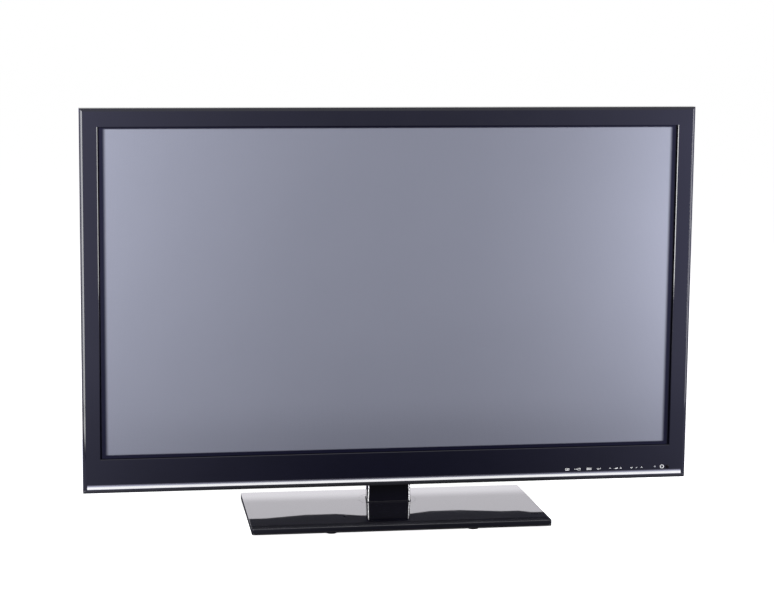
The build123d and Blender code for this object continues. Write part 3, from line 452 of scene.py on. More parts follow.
# A lighter band along the lip at the neck's foot is a painted highlight of the lip's edge.
NECK_BLACK = PaintedBandFinish(
    "gloss_black_neck", (0.0020, 0.0018, 0.0055), (0.0028, 0.0026, 0.0070), patch=40.0,
    roughness=0.06, swing=0.02, grain=5.0, depth=0.0003, specular=0.08, middle=12.6,
    first=0.45, last=0.225, second=(0.030, 0.029, 0.034),
)
# The strip's colour is painted darker towards its upper edge: painted shade in place of a darker
# reflection there.
STRIP_METAL = PaintedBandFinish(
    "bright_strip", (0.90, 0.90, 0.92), (0.84, 0.84, 0.87), patch=30.0, roughness=0.16,
    swing=0.04, grain=0.25, depth=0.0003, metallic=1.0, stretch=(40.0, 1.0, 1.0),
    first=51.0, last=55.4, second=(0.20, 0.20, 0.22), smooth=True,
)
TRIM_METAL = Finish(
    "trim_metal", (0.88, 0.88, 0.90), (0.80, 0.80, 0.83), patch=6.0, roughness=0.24,
    swing=0.05, grain=0.2, depth=0.001, metallic=0.7,
)
SCREEN = ScreenFinish(
    "screen_glass", (0.288, 0.300, 0.376), (0.277, 0.289, 0.363), patch=220.0, roughness=0.35,
    swing=0.05, grain=3.0, depth=0.0, specular=0.06, coat=0.18, coat_roughness=0.02,
)
MARK_PRINT = Finish(
    "mark_print", (0.95, 0.95, 0.96), (0.90, 0.90, 0.92), patch=3.0, roughness=0.35,
    grain=0.2, depth=0.002,
)
LAMP_GREY = Finish(
    "lamp_grey", (0.46, 0.47, 0.50), (0.40, 0.41, 0.44), patch=2.0, roughness=0.2,
    grain=0.3, depth=0.001, coat=0.6,
)
LIP_RUBBER = Finish(
    "lip_rubber", (0.0008, 0.0008, 0.0024), (0.0012, 0.0012, 0.0034), patch=10.0,
    roughness=0.9, specular=0.05, grain=0.3, depth=0.01,
)
EYE_LENS = Finish(
    "eye_lens", (0.0020, 0.0010, 0.0014), (0.0040, 0.0016, 0.0020), patch=4.0,
    roughness=0.12, swing=0.02, grain=1.0, depth=0.0003, specular=0.12,
)
SCREW_METAL = Finish(
    "screw_metal", (0.10, 0.10, 0.105), (0.16, 0.16, 0.165), patch=3.0, roughness=0.38,
    swing=0.08, grain=0.3, depth=0.004, metallic=1.0,
)

# Finishes with the name of the record's material slot that they are for.
SLOT_FINISHES = (
    GLOSS_BLACK,
    STRIP_METAL,
    SCREEN,
    Finish(
        "panel_glass", (0.30, 0.32, 0.33), (0.26, 0.28, 0.29), patch=120.0, roughness=0.2,
        depth=0.0, coat=1.0,
    ),
    Finish(
        "soft_gasket", (0.012, 0.012, 0.012), (0.02, 0.02, 0.02), patch=8.0, roughness=0.85,
        grain=0.4, depth=0.03, specular=0.2,
    ),
    Finish(
        "heat_sheet", (0.42, 0.43, 0.45), (0.50, 0.51, 0.53), patch=12.0, roughness=0.8,
        grain=0.8, depth=0.02,
    ),
    Finish(
        "chassis_aluminium", (0.66, 0.67, 0.69), (0.74, 0.75, 0.77), patch=60.0,
        roughness=0.42, metallic=1.0, grain=0.5, depth=0.004, stretch=(30.0, 1.0, 1.0),
    ),
    Finish(
        "sink_aluminium", (0.60, 0.61, 0.63), (0.68, 0.69, 0.71), patch=20.0, roughness=0.38,
        metallic=1.0, grain=0.4, depth=0.003, stretch=(1.0, 1.0, 20.0),
    ),
    Finish(
        "plated_steel", (0.52, 0.52, 0.50), (0.62, 0.61, 0.57), patch=14.0, roughness=0.4,
        metallic=1.0, grain=0.6, depth=0.004,
    ),
    Finish(
        "terminal_steel", (0.022, 0.022, 0.024), (0.032, 0.032, 0.034), patch=16.0,
        roughness=0.55, grain=0.35, depth=0.012,
    ),
    Finish(
        "bearing_plastic", (0.78, 0.78, 0.74), (0.86, 0.86, 0.82), patch=12.0, roughness=0.4,
        grain=1.0, depth=0.004,
    ),
    Finish(
        "foot_rubber", (0.016, 0.016, 0.016), (0.028, 0.028, 0.028), patch=5.0,
        roughness=0.85, grain=0.5, depth=0.03, specular=0.3,
    ),
    Finish(
        "back_plastic", (0.0195, 0.0195, 0.021), (0.0215, 0.0215, 0.023), patch=70.0,
        roughness=0.52, swing=0.03, grain=0.9, depth=0.035,
    ),
    Finish(
        "speaker_plastic", (0.022, 0.022, 0.022), (0.034, 0.034, 0.034), patch=20.0,
        roughness=0.6, grain=0.7, depth=0.02,
    ),
    Finish(
        "cone_paper", (0.045, 0.045, 0.045), (0.075, 0.075, 0.075), patch=2.0, roughness=0.9,
        grain=0.4, depth=0.03, stretch=(3.0, 1.0, 1.0),
    ),
    StripedFinish(
        "capacitor_sleeve", (0.022, 0.030, 0.062), (0.034, 0.044, 0.085), patch=10.0,
        roughness=0.3, depth=0.01, pitch=4.0, axis=1,
    ),
    StripedFinish(
        "winding_tape", (0.58, 0.45, 0.10), (0.68, 0.55, 0.15), patch=6.0, roughness=0.35,
        depth=0.08, pitch=3.0, axis=2,
    ),
    StripedFinish(
        "cable_film", (0.66, 0.57, 0.36), (0.74, 0.66, 0.44), patch=10.0, roughness=0.3,
        depth=0.03, pitch=1.0, axis=0,
    ),
    Finish(
        "socket_plastic", (0.018, 0.018, 0.020), (0.028, 0.028, 0.030), patch=4.0,
        roughness=0.45, grain=0.4, depth=0.008,
    ),
    Finish(
        "display_plastic", (0.020, 0.055, 0.26), (0.034, 0.080, 0.32), patch=6.0,
        roughness=0.4, grain=0.4, depth=0.008,
    ),
    Finish(
        "socket_shell", (0.60, 0.60, 0.58), (0.70, 0.70, 0.67), patch=4.0, roughness=0.28,
        metallic=1.0, grain=0.3, depth=0.003,
    ),
    Finish(
        "key_plastic", (0.012, 0.012, 0.014), (0.018, 0.018, 0.020), patch=6.0,
        roughness=0.22, grain=0.5, depth=0.003,
    ),
    BoardFinish(
        "circuit_board", (0.020, 0.115, 0.050), (0.028, 0.150, 0.065), patch=30.0,
        roughness=0.4, grain=1.2, depth=0.01,
    ),
)
# Finishes that new pieces share with the nodes of a slot.
SHARED_FINISHES = {
    "screw_steel": SCREW_METAL,
    "dark_window": EYE_LENS,
}
# Finishes of nodes that look different from the rest of their slot.
NODE_FINISHES = {
    "base_cover": BASE_BLACK,
    "turntable_cover": BASE_BLACK,
    "neck_front_cover": NECK_BLACK,
    "neck_rear_cover": NECK_BLACK,
}


# Surfaces


@dataclass(frozen=True)
class Surface:
    """Closed form: points in millimetres, four-cornered faces and flat end faces."""

    points: np.ndarray
    quads: np.ndarray
    caps: tuple[np.ndarray, ...] = ()

    def turned_out(self) -> "Surface":
        """Returns the form with its faces outwards.

        The volume is a sixth of the sum of the triple products of the triangles' corners,
        which is negative where the faces look inwards.
        """
        fans = [np.stack([np.full(len(c) - 2, c[0]), c[1:-1], c[2:]], axis=1) for c in self.caps]
        split = [self.quads[:, [0, 1, 2]], self.quads[:, [0, 2, 3]], *fans]
        a, b, c = np.moveaxis(self.points[np.concatenate(split)], 1, 0)
        if float(np.sum(a * np.cross(b, c))) >= 0.0:
            return self
        return Surface(self.points, self.quads[:, ::-1], tuple(cap[::-1] for cap in self.caps))


def grid_quads(rows: int, columns: int, wrap_rows: bool) -> np.ndarray:
    """Corner numbers of the faces of a grid that closes along its columns.

    Args:
        rows: number of rows of points.
        columns: number of points in a row.
        wrap_rows: joins the last row to the first.

    Returns:
        Four point numbers for each face.
    """
    row = np.arange(rows if wrap_rows else rows - 1)
    column = np.arange(columns)
    r, c = np.meshgrid(row, column, indexing="ij")
    r1, c1 = (r + 1) % rows, (c + 1) % columns
    corners = [r * columns + c, r * columns + c1, r1 * columns + c1, r1 * columns + c]
    return np.stack(corners, axis=-1).reshape(-1, 4)


def swept(outlines: np.ndarray) -> Surface:
    """Ring-shaped form: outlines follow each other and the last joins the first.

    Args:
        outlines: points by outline, place along the outline and axis.

    Returns:
        The closed form.
    """
    rows, columns = outlines.shape[:2]
    quads = grid_quads(rows, columns, wrap_rows=True)
    return Surface(outlines.reshape(-1, 3), quads).turned_out()


def stacked(outlines: np.ndarray) -> Surface:
    """Solid form: outlines follow each other, and the first and last are closed flat.

    Args:
        outlines: points by outline, place along the outline and axis.

    Returns:
        The closed form.
    """
    rows, columns = outlines.shape[:2]
    first = np.arange(columns)
    caps = (first[::-1], first + (rows - 1) * columns)
    quads = grid_quads(rows, columns, wrap_rows=False)
    return Surface(outlines.reshape(-1, 3), quads, caps).turned_out()


def joined(parts: list[Surface]) -> Surface:
    """Puts several closed forms in one.

    Args:
        parts: the forms.

    Returns:
        One surface with all their points and faces.
    """
    starts = np.cumsum([0] + [len(part.points) for part in parts[:-1]])
    points = np.concatenate([part.points for part in parts])
    quads = np.concatenate([part.quads + n for part, n in zip(parts, starts)])
    caps = tuple(cap + n for part, n in zip(parts, starts) for cap in part.caps)
    return Surface(points, quads, caps)


def rounded_outline(half: Pair, centre: Pair, radius: float,
                    steps: int = 8) -> np.ndarray:
    """Rectangle with round corners.

    Each corner is a quarter of a circle about a point that lies one radius inside both sides:
    its points are that point plus the radius times the cosine and sine of the angle.

    Args:
        half: half of the width and of the height.
        centre: its middle.
        radius: radius of the corners.
        steps: faces in each corner.

    Returns:
        Points along the outline, two numbers each.
    """
    quarter = np.linspace(0.0, np.pi / 2, steps + 1)
    angles = (np.arange(4)[:, None] * np.pi / 2 + quarter).ravel()
    signs = np.repeat([[1, 1], [-1, 1], [-1, -1], [1, -1]], steps + 1, axis=0)
    pivots = signs * (np.array(half) - radius)
    return np.array(centre) + pivots + radius * np.stack([np.cos(angles), np.sin(angles)], axis=1)


def circle(steps: int) -> np.ndarray:
    """Returns the corners of a round outline with a radius of 1."""
    angles = np.linspace(0.0, 2 * np.pi, steps, endpoint=False)
    return np.stack([np.cos(angles), np.sin(angles)], axis=1)


def upright(outline: np.ndarray, y: float) -> np.ndarray:
    """Puts an outline of X and Z in the upright plane at one Y."""
    return np.stack([outline[:, 0], np.full(len(outline), y), outline[:, 1]], axis=1)


def plate(outline: np.ndarray, front: float, back: float) -> Surface:
    """Flat solid between two upright planes.

    Args:
        outline: points of X and Z.
        front: Y of the front face.
        back: Y of the back face.

    Returns:
        The closed form.
    """
    return stacked(np.stack([upright(outline, front), upright(outline, back)]))


def stroke(line: np.ndarray, width: float, front: float, back: float) -> Surface:
    """Flat line of one width: its points are moved sideways by half the width.

    The sideways direction at a point is square to the mean of the directions of its two
    pieces of line, and longer there by one over the cosine of half the bend.

    Args:
        line: points of X and Z.
        width: width of the line.
        front: Y of the front face.
        back: Y of the back face.

    Returns:
        The closed form.
    """
    runs = np.diff(line, axis=0)
    runs /= np.linalg.norm(runs, axis=1, keepdims=True)
    sides = np.stack([-runs[:, 1], runs[:, 0]], axis=1)
    before, after = np.vstack([sides[:1], sides]), np.vstack([sides, sides[-1:]])
    mean = before + after
    out = mean / np.sum(mean * after, axis=1, keepdims=True) * width / 2
    return plate(np.vstack([line + out, (line - out)[::-1]]), front, back)


def hoop(centre: Pair, radius: float, width: float, front: float,
         back: float, span: Pair = (0.0, 360.0)) -> Surface:
    """Flat ring, or a part of one: a line along a circle.

    Args:
        centre: X and Z of the middle.
        radius: radius of the line's middle.
        width: width of the line.
        front: Y of the front face.
        back: Y of the back face.
        span: first and last angle in degrees, from +X towards +Z.

    Returns:
        The closed form.
    """
    whole = span[1] - span[0] >= 360.0
    angles = np.radians(np.linspace(*span, HOOP_POINTS))
    ways = np.stack([np.cos(angles), np.sin(angles)], axis=1)
    inner = np.array(centre) + ways * (radius - width / 2)
    outer = np.array(centre) + ways * (radius + width / 2)
    if not whole:
        return plate(np.vstack([outer, inner[::-1]]), front, back)
    sides = ((outer, front), (outer, back), (inner, back), (inner, front))
    return swept(np.stack([upright(side[:-1], y) for side, y in sides]))


def make_piece(name: str, surface: Surface, finish: Finish, body: Body,
               stands_for: tuple[str, ...] = ()) -> None:
    """Puts a form in the scene as a piece of the television.

    Args:
        name: name of the piece.
        surface: its form, in millimetres.
        finish: its surface finish.
        body: body that it rides on.
        stands_for: nodes that it replaces.
    """
    mesh = bpy.data.meshes.new(name)
    faces = surface.quads.tolist() + [cap.tolist() for cap in surface.caps]
    mesh.from_pydata((surface.points * MM).tolist(), [], faces)
    mesh.polygons.foreach_set("use_smooth", np.ones(len(mesh.polygons), dtype=bool))
    mesh.set_sharp_from_angle(angle=math.radians(CREASE))
    mesh.validate()
    mesh.update()
    mesh.materials.append(finish.make())
    piece = new_object(name, mesh)
    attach(piece, body.value)
    if stands_for:
        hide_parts(*stands_for)
    log.info("%s: %d faces, rides on %s", name, len(mesh.polygons), body.value)


# Sub-assemblies


@dataclass
class ScreenEdge:
    """Black lip between the bezel and the glass, thick at the sides and thin above and below."""

    half_width: float = 464.0
    foot: float = 96.9
    head: float = 622.6
    side: float = 2.2
    thin: float = 0.7
    glass_y: float = 20.0
    rise: float = 1.0
    corner: float = 0.4
    corner_growth: float = 1.2
    corner_steps: int = 4
    round_steps: int = 6

    def outline(self, share: float) -> np.ndarray:
        """Returns the lip's outline, from the opening's wall at 0 to its inner edge at 1."""
        half_height = (self.head - self.foot) / 2
        half = (self.half_width - share * self.side, half_height - share * self.thin)
        radius = self.corner + self.corner_growth * share
        return rounded_outline(half, (0.0, self.foot + half_height), radius, self.corner_steps)

    def build(self) -> None:
        """Builds the lip: its height falls from the wall inwards as a quarter of an ellipse."""
        turn = np.linspace(0.0, np.pi / 2, self.round_steps + 1)
        shares = np.concatenate([[0.0], np.sin(turn)])
        depths = np.concatenate([[0.0], self.rise * np.cos(turn)])
        rows = [upright(self.outline(s), self.glass_y - d) for s, d in zip(shares, depths)]
        make_piece("screen_lip", swept(np.stack(rows)), LIP_RUBBER, Body.SET)


@dataclass(frozen=True)
class Picture:
    """Printed picture: its place in the row, and lines and shapes given from that place."""

    x: float
    thin: tuple[Line, ...] = ()
    bold: tuple[Line, ...] = ()
    filled: tuple[Line, ...] = ()


PICTURES = {
    "ratio": Picture(
        293.4, (((-3.0, 1.3), (-3.0, -1.3), (3.0, -1.3), (3.0, 1.3), (-3.35, 1.3)),),
        (((-1.2, 0.0), (1.2, 0.0)),),
    ),
    "input": Picture(310.3, (
        ((0.6, 1.3), (4.6, 1.3), (4.6, -1.3), (0.6, -1.3)),
        ((-5.2, 0.0), (0.4, 0.0)),
        ((-0.8, 1.2), (0.9, 0.0), (-0.8, -1.2)),
    )),
    "menu": Picture(330.0, tuple(((-4.2, z), (4.2, z)) for z in (1.25, 0.0, -1.25))),
    "enter": Picture(346.5, (
        ((2.6, 1.4), (2.6, -0.4), (-2.2, -0.4)),
        ((-1.0, 0.9), (-2.7, -0.4), (-1.0, -1.7)),
    )),
    "quieter": Picture(365.1, bold=(((-1.4, 0.0), (1.4, 0.0)),)),
    "volume": Picture(375.0, filled=(((-3.2, -1.3), (3.0, -1.3), (3.0, 1.3)),)),
    "louder": Picture(383.4, bold=(((-1.4, 0.0), (1.4, 0.0)), ((0.0, -1.4), (0.0, 1.4)))),
    "down": Picture(401.6, (((-1.6, 0.7), (0.0, -0.9), (1.6, 0.7)),)),
    "channel": Picture(410.3, (((-0.9, -1.2), (0.9, 1.2)),)),
    "up": Picture(418.6, (((-1.6, -0.7), (0.0, 0.9), (1.6, -0.7)),)),
    "power": Picture(453.1, bold=(((0.0, 1.3), (0.0, 4.3)),)),
}


@dataclass
class FrontMarks:
    """Row of small printed pictures above the strip, where the keys are below."""

    row: float = 59.9
    raised: float = 0.9
    face: float = 17.0
    print_t: float = 0.05
    sunk: float = 0.05
    thin: float = 0.80
    bold: float = 1.00
    ring_radius: float = 2.9
    ring_span: Pair = (128.0, 412.0)
    lamp_x: float = 441.0
    lamp_radius: float = 0.85
    lamp_line: float = 0.9

    def depths(self) -> Pair:
        """Returns the Y of the prints' front and of their back, which lies in the bezel."""
        return self.face - self.print_t, self.face + self.sunk

    def drawn(self, picture: Picture) -> list[Surface]:
        """Returns the lines and filled shapes of one picture."""
        place = (picture.x, self.row)
        lines = [(line, self.thin) for line in picture.thin]
        lines += [(line, self.bold) for line in picture.bold]
        parts = [stroke(np.array(line) + place, width, *self.depths()) for line, width in lines]
        return parts + [plate(np.array(form) + place, *self.depths()) for form in picture.filled]

    def build(self) -> None:
        """Builds the pictures, the ring round the power picture's line, and the lamp."""
        height = self.row + self.raised
        power = (PICTURES["power"].x, height)
        parts = [part for picture in PICTURES.values() for part in self.drawn(picture)]
        parts.append(hoop(power, self.ring_radius, self.bold, *self.depths(), self.ring_span))
        make_piece("front_marks", joined(parts), MARK_PRINT, Body.SET)
        lamp = hoop((self.lamp_x, height), self.lamp_radius, self.lamp_line, *self.depths())
        make_piece("lamp_mark", lamp, LAMP_GREY, Body.SET)


@dataclass
class SensorEye:
    """Domed window of the remote control's sensor, in the bezel's hole."""

    centre: Pair = (462.0, 59.9)
    radius: float = 3.15
    face: float = 17.0
    back: float = 19.4
    dome: float = 0.35
    rings: int = 8
    steps: int = 48

    def build(self) -> None:
        """Builds the window: its front is a shallow dome, a paraboloid of the radius."""
        way = circle(self.steps) * self.radius
        shares = np.linspace(INNERMOST, 1.0, self.rings)
        rows = [upright(self.centre + way * s, self.face - self.dome * (1 - s * s)) for s in shares]
        rows.append(upright(self.centre + way, self.back))
        eye = stacked(np.stack(rows))
        make_piece("sensor_eye", eye, EYE_LENS, Body.SET, ("sensor_window",))


@dataclass
class RearScrews:
    """Round heads of the rear cover's screws, with a cross in each."""

    side_x: float = 455.0
    side_z: Triple = (112.0, 347.0, 589.0)
    top_x: float = 330.0
    top_z: float = 619.0
    face: float = 57.0
    radius: float = 3.2
    height: float = 1.6
    bulge: float = 0.75
    arm: float = 2.1
    arm_w: float = 0.75
    arm_end_step: float = 0.35
    arm_side_step: float = 0.25
    cross_depth: float = 0.9
    shank: float = 1.4
    length: float = 6.0
    steps: int = 48
    rings: int = 22

    def places(self) -> list[Pair]:
        """Returns the X and Z of the screws: three on each side and two at the top."""
        sides = [(side * self.side_x, z) for side in (-1, 1) for z in self.side_z]
        return sides + [(side * self.top_x, self.top_z) for side in (-1, 1)]

    def head(self, place: Pair) -> Surface:
        """Builds one head.

        Its height is that of a flat dome, less the cross: an arm is as deep as its cross depth
        times a soft step of how far the point lies within the arm's width and length.

        Args:
            place: X and Z of the screw.

        Returns:
            The closed form.
        """
        way = circle(self.steps)
        shares = np.linspace(INNERMOST, 1.0, self.rings)[:, None]
        x, z = self.radius * shares * way[:, 0], self.radius * shares * way[:, 1]
        dome = self.height * np.sqrt(1.0 - self.bulge * shares**4)
        cross = np.maximum(self.arm_cut(x, z), self.arm_cut(z, x))
        y = self.face + dome - self.cross_depth * cross
        top = np.stack([x + place[0], y, z + place[1]], axis=-1)
        rim = top[-1].copy()
        rim[:, 1] = self.face
        shank = place + self.shank * way
        foot = np.stack([upright(shank, y) for y in (self.face, self.face - self.length)])
        return stacked(np.concatenate([top, rim[None], foot]))

    def arm_cut(self, along: np.ndarray, across: np.ndarray) -> np.ndarray:
        """Returns how deep an arm of the cross is at each point, from 0 to 1."""
        side = np.clip((self.arm_w - np.abs(across)) / self.arm_side_step, 0.0, 1.0)
        end = np.clip((self.arm - np.abs(along)) / self.arm_end_step, 0.0, 1.0)
        return side * end

    def build(self) -> None:
        """Builds all the heads as one piece that stands for their node."""
        heads = joined([self.head(place) for place in self.places()])
        make_piece("rear_screw_heads", heads, SCREW_METAL, Body.SET, ("rear_screws",))


@dataclass
class NeckTrim:
    """Bright hairline along each front corner of the neck."""

    base_top: float = 12.9
    top: float = 41.2
    foot_half: float = 36.5
    top_half: float = 35.6
    front: float = 29.6
    corner: float = 3.8
    span: Pair = (3.0, 24.0)
    proud: float = 0.12
    sunk: float = 0.15
    columns: int = 6
    rows: int = 5

    def section(self, half: float, side: int) -> np.ndarray:
        """Builds the hairline's outline at one height.

        It lies on the corner's arc: the corner's centre plus the radius times the sine and the
        cosine of the angle from the front, first proud of the arc and then back inside it.

        Args:
            half: half of the neck's width at this height.
            side: 1 for the right corner and -1 for the left one.

        Returns:
            Points of X and Y.
        """
        angles = np.radians(np.linspace(*self.span, self.columns))
        way = np.stack([np.sin(angles), -np.cos(angles)], axis=1)
        arcs = [way * (self.corner + self.proud), way[::-1] * (self.corner - self.sunk)]
        ring = np.vstack(arcs) + (half - self.corner, self.front + self.corner)
        return ring * (side, 1)

    def corner_line(self, side: int) -> Surface:
        """Returns one hairline: its sections go up the corner and follow the neck's taper."""
        rows = []
        for share in np.linspace(0.0, 1.0, self.rows):
            half = self.foot_half + (self.top_half - self.foot_half) * share
            ring = self.section(half, side)
            height = self.base_top + (self.top - self.base_top) * share
            rows.append(np.column_stack([ring, np.full(len(ring), height)]))
        return stacked(np.stack(rows))

    def build(self) -> None:
        """Builds both hairlines as one piece that turns with the set."""
        lines = joined([self.corner_line(side) for side in (-1, 1)])
        make_piece("neck_trim", lines, TRIM_METAL, Body.SET)


class JackColour(Enum):
    """Colours of the round jacks' inserts, as the trade uses them for sound and picture."""

    GREEN = (0.03, 0.24, 0.06)
    BLUE = (0.02, 0.08, 0.42)
    RED = (0.45, 0.02, 0.02)
    WHITE = (0.72, 0.72, 0.70)
    YELLOW = (0.70, 0.48, 0.02)


@dataclass
class JackRings:
    """Coloured inserts in the faces of the round jacks at the back."""

    columns: Pair = (-407.0, -381.0)
    top: float = 297.0
    pitch: float = 20.0
    face: float = 54.0
    middle: float = 2.6
    half: float = 0.8
    proud: float = 0.35
    sunk: float = 0.1
    shade: float = 0.8
    steps: int = 32
    turns: int = 7
    inserts: tuple[tuple[JackColour, ...], ...] = (
        (JackColour.GREEN, JackColour.BLUE, JackColour.RED, JackColour.WHITE, JackColour.RED),
        (JackColour.YELLOW, JackColour.WHITE, JackColour.RED),
    )

    def ring(self, x: float, z: float) -> Surface:
        """Builds one insert.

        Its section is half an ellipse: the radius is the middle one plus the half width times
        the cosine of the turn, and the height over the face is the proud one times its sine.

        Args:
            x: X of the jack.
            z: Z of the jack.

        Returns:
            The closed form.
        """
        turn = np.linspace(0.0, np.pi, self.turns)
        radii = np.concatenate([self.middle + self.half * np.cos(turn), [self.middle]])
        heights = np.concatenate([self.face + self.proud * np.sin(turn), [self.face - self.sunk]])
        way = circle(self.steps)
        rows = [upright((x, z) + way * r, y) for r, y in zip(radii, heights)]
        return swept(np.stack(rows))

    def finish(self, colour: JackColour) -> Finish:
        """Returns the moulded finish of one colour."""
        low = tuple(self.shade * part for part in colour.value)
        name = "insert_" + colour.name.lower()
        return Finish(name, colour.value, low, patch=2.0, roughness=0.35, grain=0.2, depth=0.002)

    def build(self) -> None:
        """Builds the inserts, one piece for each colour."""
        places = [
            (colour, x, self.top - row * self.pitch)
            for x, column in zip(self.columns, self.inserts) for row, colour in enumerate(column)
        ]
        for colour in JackColour:
            rings = joined([self.ring(x, z) for own, x, z in places if own is colour])
            name = "jack_inserts_" + colour.name.lower()
            make_piece(name, rings, self.finish(colour), Body.SET)


# Studio


@dataclass
class Softbox:
    """Rectangular lamp that the camera doesn't see, and that may be left out of gloss too."""

    name: str
    place: Triple
    aim: Triple
    width: float
    height: float
    level: float
    in_gloss: bool = True

    def build(self) -> None:
        """Builds the lamp: its power is its brightness times pi times its area."""
        data = bpy.data.lights.new(self.name, "AREA")
        data.shape = "RECTANGLE"
        data.size = self.width
        data.size_y = self.height
        data.energy = self.level * math.pi * self.width * self.height
        lamp = new_object(self.name, data)
        lamp.location = self.place
        way = Vector(self.aim) - Vector(self.place)
        lamp.rotation_mode = "QUATERNION"
        lamp.rotation_quaternion = way.to_track_quat("-Z", "Y")
        lamp.visible_camera = False
        lamp.visible_glossy = self.in_gloss
        log.info("%s: %.1f W", self.name, data.energy)


def new_sheet(name: str, corners: tuple[Triple, ...],
              material: bpy.types.Material) -> bpy.types.Object:
    """Returns a flat object with four corners in metres and one material."""
    mesh = bpy.data.meshes.new(name)
    mesh.from_pydata(list(corners), [], [tuple(range(len(corners)))])
    mesh.materials.append(material)
    return new_object(name, mesh)


@dataclass
class MirrorCard:
    """Bright card that shows only in gloss: darker above a step, or faded at its edges."""

    name: str
    corners: tuple[Triple, ...]
    level: float
    high_level: float
    step: Pair = (0.138, 0.153)
    tint: Triple = (1.0, 1.0, 1.0)
    soft: float = 0.0

    def fade(self, bench: Bench, place: Socket) -> Socket:
        """Returns 1 inside a flat card and 0 at its edges, eased over its soft width."""
        low, high = np.min(self.corners, axis=0), np.max(self.corners, axis=0)
        axes = bench.axes(place)
        shares = []
        for axis in (0, 1):
            middle, half = float(low[axis] + high[axis]) / 2, float(high[axis] - low[axis]) / 2
            away = bench.math("ABSOLUTE", bench.math("SUBTRACT", axes[axis], middle))
            shares.append(bench.range(away, half - self.soft, half, (1.0, 0.0), smooth=True))
        return bench.math("MULTIPLY", *shares)

    def build(self) -> None:
        """Builds the card with a glow that goes from one level to the other over the step."""
        material, bench = new_material(self.name + "_paper")
        place = bench.place()
        height = bench.axes(place)[2]
        level = bench.range(height, *self.step, (self.level, self.high_level), smooth=True)
        if self.soft > 0.0:
            level = bench.math("MULTIPLY", level, self.fade(bench, place))
        glow = bench.add("ShaderNodeEmission", {0: (*self.tint, 1.0), 1: level})
        bench.add("ShaderNodeOutputMaterial", {"Surface": glow.outputs[0]})
        card = new_sheet(self.name, self.corners, material)
        for rays in ("camera", "diffuse", "transmission", "volume_scatter", "shadow"):
            setattr(card, "visible_" + rays, False)
        log.info("%s: seen in gloss only", self.name)


def flat_card(name: str, x: Pair, y: Pair, level: float) -> MirrorCard:
    """Returns a card that lies just above the floor between two X and two Y."""
    places = ((x[0], y[0]), (x[1], y[0]), (x[1], y[1]), (x[0], y[1]))
    corners = tuple((*place, CARD_FOOT) for place in places)
    return MirrorCard(name, corners, level, level, soft=CARD_SOFT)


def upright_card(name: str, first: Pair, last: Pair, top: float, level: float) -> MirrorCard:
    """Returns a card that stands between two places on the floor, up to the top's Z."""
    corners = ((*first, CARD_FOOT), (*last, CARD_FOOT), (*last, top), (*first, top))
    return MirrorCard(name, corners, level, level)


@dataclass(frozen=True)
class FloorSheen:
    """How bright the floor looks in gloss, with its places in metres.

    It is dim close in front of the stand and brighter further away and to both sides: with
    u metres in front and s the share of the way to the side, it is a sum of s squared and
    eased steps of u. Behind the stand it is plain, and close to the base's sides it is
    dark, where the base shades it.
    """

    drift: float = 0.17
    spread: Pair = (0.14, 0.494)
    square_most: float = 1.2
    near: Pair = (0.52, 0.11)
    far: Pair = (0.10, 0.27)
    far_step: Pair = (0.2, 1.5)
    farthest: float = 0.14
    farthest_step: Pair = (3.0, 8.0)
    plain: float = 0.85
    plain_step: Pair = (0.05, 0.4)
    shade: float = 0.15
    beside_step: Pair = (0.25, 0.31)
    past_step: Pair = (0.15, 0.22)
    before_step: Pair = (0.118, 0.19)

    def build(self, bench: Bench) -> Socket:
        """Returns the floor's brightness."""
        across, back, _ = bench.axes(bench.place())
        ahead = bench.math("MULTIPLY", back, -1.0)
        shift = bench.math("MULTIPLY", ahead, self.drift)
        spread = bench.math("MULTIPLY_ADD", ahead, *self.spread)
        side = bench.math("DIVIDE", bench.math("SUBTRACT", across, shift), spread)
        square = bench.math("MINIMUM", bench.math("MULTIPLY", side, side), self.square_most)
        far = bench.range(ahead, *self.far_step, (0.0, 1.0), smooth=True)
        farthest = bench.range(ahead, *self.farthest_step, (0.0, self.farthest), smooth=True)
        near_part = bench.math("MULTIPLY_ADD", square, *self.near)
        far_part = bench.math("MULTIPLY", far, bench.math("MULTIPLY_ADD", square, *self.far))
        front = bench.math("ADD", bench.math("ADD", near_part, far_part), farthest)
        behind = bench.range(back, *self.plain_step, (0.0, 1.0), smooth=True)
        rest = bench.math("MULTIPLY", bench.math("SUBTRACT", self.plain, front), behind)
        away = bench.math("ABSOLUTE", across)
        beside = bench.range(away, *self.beside_step, (self.shade, 1.0))
        past = bench.range(back, *self.past_step, (self.shade, 1.0))
        before = bench.range(ahead, *self.before_step, (0.0, 1.0))
        lit = bench.math("MAXIMUM", bench.math("MAXIMUM", beside, past), before)
        return bench.math("MULTIPLY", bench.math("ADD", front, rest), lit)


